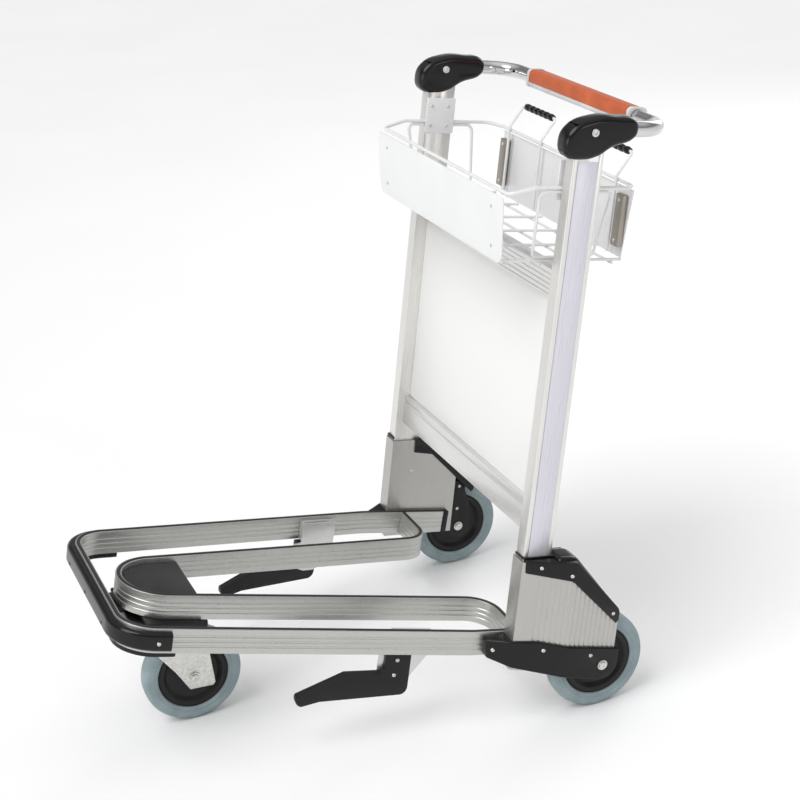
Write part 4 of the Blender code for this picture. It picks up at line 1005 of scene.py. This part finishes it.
def smooth_loop(points, resolution=12):
    """A closed Bezier through the points, as a list of its own points."""
    curve = bpy.data.curves.new("guide", "CURVE")
    curve.dimensions = "2D"
    curve.fill_mode = "NONE"
    curve.resolution_u = resolution
    spline = curve.splines.new("BEZIER")
    spline.bezier_points.add(len(points) - 1)
    spline.use_cyclic_u = True
    for knot, (across, along) in zip(spline.bezier_points, points):
        knot.co = (across, along, 0)
        knot.handle_left_type = "AUTO"
        knot.handle_right_type = "AUTO"
    item = link(bpy.data.objects.new("guide", curve))
    bpy.context.view_layer.update()
    mesh = item.to_mesh()
    loop = [(vertex.co.x, vertex.co.y) for vertex in mesh.vertices]
    item.to_mesh_clear()
    bpy.data.objects.remove(item, do_unlink=True)
    return loop


def make_handle_shell(side, sign):
    """A teardrop shell with room for the column's top, the tube and the pivot pin."""
    outline = smooth_loop([
        (-0.0190, 0.970), (-0.0105, 0.9955), (0.028, 1.0135), (0.068, 1.0145), (0.0985, 1.0095),
        (0.1035, 0.996), (0.0985, 0.9825), (0.062, 0.9675), (0.040, 0.9540), (0.014, 0.9480),
        (-0.0120, 0.9530)], 5)
    swing_room = [(-0.0045, 0.930), (0.0600, 0.930), (0.0545, 1.0055), (-0.0045, 1.0020)]
    shell = pillow(outline, SHELL_INNER, SHELL_OUTER, 0.0135, 0.0095)
    play = 0.0007
    cut(shell, prism([swing_room], COLUMN_INNER - play, COLUMN_OUTER + play, side_view=True))
    bore = cylinder((COLUMN_MIDDLE, 0.0595, TUBE_S), (COLUMN_MIDDLE, 0.13, TUBE_S),
                    TUBE_RADIUS + GAP, 48)
    cut(shell, bore, cylinder((0.24, PIVOT_N, PIVOT_S), (0.30, PIVOT_N, PIVOT_S), 0.0048, 32))
    mirror_to(shell, sign)
    replace_node(shell, f"handle_shell_{side}", GLOSSY, 40, "handle")


def make_pivot_pin(side, sign):
    """A shouldered pin with a socketed head outside each face of the shell."""
    radius, head, thick, shoulder = 0.004, 0.0062, 0.0020, 0.0006
    low, high = SHELL_INNER - GAP, SHELL_OUTER + GAP
    outer_end = [(0, high + shoulder), (0.0024, high + shoulder), (0.0028, high + thick),
                 (head - 0.0018, high + thick), (head - 0.0007, high + 0.0014),
                 (head, high + shoulder), (head, high), (radius, high)]
    inner_end = [(r, low - (x - high)) for r, x in reversed(outer_end)]
    pin = turned(outer_end + inner_end, 48)
    mirror_to(pin, sign)
    base = COLUMN @ Matrix.Translation((0, PIVOT_N, PIVOT_S))
    replace_node(pin, f"pivot_pin_{side}", ZINC, 30, base=base)


def make_handle():
    """The shells, their pins, the brake rods that they lift, the tube and the grip."""
    for side, sign in SIDES:
        make_handle_shell(side, sign)
        make_pivot_pin(side, sign)
        softened(f"brake_rod_{side}", ZINC, f"brake_{side}", 0.0004, COLUMN)
    half = [((COLUMN_MIDDLE, 0.062, TUBE_S), 0), ((COLUMN_MIDDLE, CROSSBAR_N, TUBE_S), 0.050)]
    tube = wires([both_halves(half)], TUBE_RADIUS - 0.0002, resolution=14)
    replace_node(tube, "handle_tube", CHROME, 60, "handle")
    make_grip()


def make_grip():
    """An orange pad over the crossbar, a pale base below it, and an end cap at each end."""
    bore, wide, top, bottom = TUBE_RADIUS + GAP, 0.0160, TUBE_S + 0.0152, TUBE_S - 0.0150
    front, rear, split = CROSSBAR_N - wide, CROSSBAR_N + wide, TUBE_S - 0.006
    pad_edge, base_edge, long = 0.009, 0.006, GRIP_HALF - 0.0075
    reach = sqrt(bore ** 2 - (TUBE_S - split) ** 2)
    pad = [(CROSSBAR_N - reach, split), (front, split), (front, top - pad_edge)]
    pad += arc((front + pad_edge, top - pad_edge), pad_edge, 180, 90, 10)
    pad += arc((rear - pad_edge, top - pad_edge), pad_edge, 90, 0, 10)
    pad += [(rear, split), (CROSSBAR_N + reach, split)]
    pad += arc((CROSSBAR_N, TUBE_S), bore, -27, 207, 40)
    orange = bevel(prism([pad], -long + GAP, long - GAP, side_view=True), 0.0007, 3, 40)
    replace_node(orange, "handle_grip", ORANGE, 40, "handle")
    under = split - GAP
    reach_low = sqrt(bore ** 2 - (TUBE_S - under) ** 2)
    base = [(front, under), (CROSSBAR_N - reach_low, under)]
    base += arc((CROSSBAR_N, TUBE_S), bore, 210, 330, 30)
    base += [(CROSSBAR_N + reach_low, under), (rear, under)]
    base += arc((rear - base_edge, bottom + base_edge), base_edge, 0, -90, 8)
    base += arc((front + base_edge, bottom + base_edge), base_edge, -90, -180, 8)
    silver = bevel(prism([base], -long + GAP, long - GAP, side_view=True), 0.0005, 2, 40)
    replace_node(silver, "grip_base", SILVER_BASE, 40, "handle")
    ring = arc((CROSSBAR_N, TUBE_S), bore, 180, 540, 48)[:-1]
    rim = 0.0006
    outline = rounded_loop([
        ((front - rim, bottom - rim), 0.0062), ((rear + rim, bottom - rim), 0.0062),
        ((rear + rim, top + rim), 0.0085), ((front - rim, top + rim), 0.0085)])
    for side, sign in SIDES:
        cap = bevel(prism([outline, ring], long, GRIP_HALF, side_view=True), 0.0012, 3, 50)
        mirror_to(cap, sign)
        place(cap, f"grip_end_{side}", SILVER_BASE, "handle", COLUMN)


# ---- studio

def make_floor(radius=60):
    """A pale floor that runs into the background."""
    work = bmesh.new()
    bmesh.ops.create_circle(work, cap_ends=True, segments=128, radius=radius)
    floor = build("floor", work)
    material, tree, shader = new_material("studio_floor", (0.93, 0.93, 0.93), 0.7)
    tone = ramp(tree, noise(tree, 1.5, 2), (0.92, 0.92, 0.92), (0.94, 0.94, 0.94), 0.3, 0.7)
    tree.links.new(tone, shader.inputs["Base Color"])
    floor.data.materials.append(material)


def make_background(middle_height=0.42):
    """White at the horizon and overhead, dim between, so that metal shows its shape."""
    world = bpy.data.worlds.new("studio")
    bpy.context.scene.world = world
    world.use_nodes = True
    tree = world.node_tree
    background = tree.nodes["Background"]
    background.inputs["Strength"].default_value = 1
    direction = tree.nodes.new("ShaderNodeTexCoord")
    parts = tree.nodes.new("ShaderNodeSeparateXYZ")
    tree.links.new(direction.outputs["Generated"], parts.inputs["Vector"])
    sky = ramp(tree, parts.outputs["Z"], (0.90, 0.90, 0.90), (0.92, 0.92, 0.92), 0.06, 1.0)
    dim = sky.node.color_ramp.elements.new(middle_height)
    dim.color = (0.20, 0.20, 0.205, 1)
    tree.links.new(sky, background.inputs["Color"])


def make_lights():
    """A broad sun from the far side and three soft lamps round the trolley."""
    aim = Vector((0, 0, 0.45))
    sun = bpy.data.lights.new("sun", "SUN")
    sun.energy = 1.55
    sun.angle = radians(38)
    lamp = link(bpy.data.objects.new("sun", sun))
    lamp.rotation_euler = Vector((-0.22, 0.62, -0.95)).to_track_quat("-Z", "Y").to_euler()
    lamps = (("front", (0.9, -3.2, 1.7), 1.3, 16), ("side", (3.3, 1.5, 1.6), 0.7, 7),
             ("back", (-1.8, 3.2, 2.0), 1.6, 24))
    for name, where, size, power in lamps:
        data = bpy.data.lights.new(name, "AREA")
        data.size = size
        data.energy = power
        lamp = link(bpy.data.objects.new(name, data))
        lamp.location = where
        lamp.rotation_euler = (aim - Vector(where)).to_track_quat("-Z", "Y").to_euler()


def make_studio():
    """The floor, background and lights, shown without a tone curve."""
    make_floor()
    make_background()
    make_lights()
    bpy.context.scene.view_settings.view_transform = "Standard"


def make_camera():
    """The viewpoint: front left of the trolley, looking down at it, rolled slightly."""
    yaw, pitch, roll = radians(68.93), radians(22.92), radians(-4.16)
    ahead = Vector((-sin(yaw) * cos(pitch), cos(yaw) * cos(pitch), -sin(pitch)))
    level = ahead.cross(Vector((0, 0, 1))).normalized()
    upright = level.cross(ahead)
    right = cos(roll) * level + sin(roll) * upright
    up = cos(roll) * upright - sin(roll) * level
    data = bpy.data.cameras.new("camera")
    data.sensor_width, data.lens = 36, 78.21
    camera = link(bpy.data.objects.new("camera", data))
    pose = Matrix((right, up, -ahead)).transposed().to_4x4()
    pose.translation = (2.5063, -0.8700, 1.6254)
    camera.matrix_world = pose
    bpy.context.scene.camera = camera


make_camera()
make_studio()
make_deck_parts()
make_wheels()
make_casings()
make_back()
make_basket()
make_hooks()
make_handle()
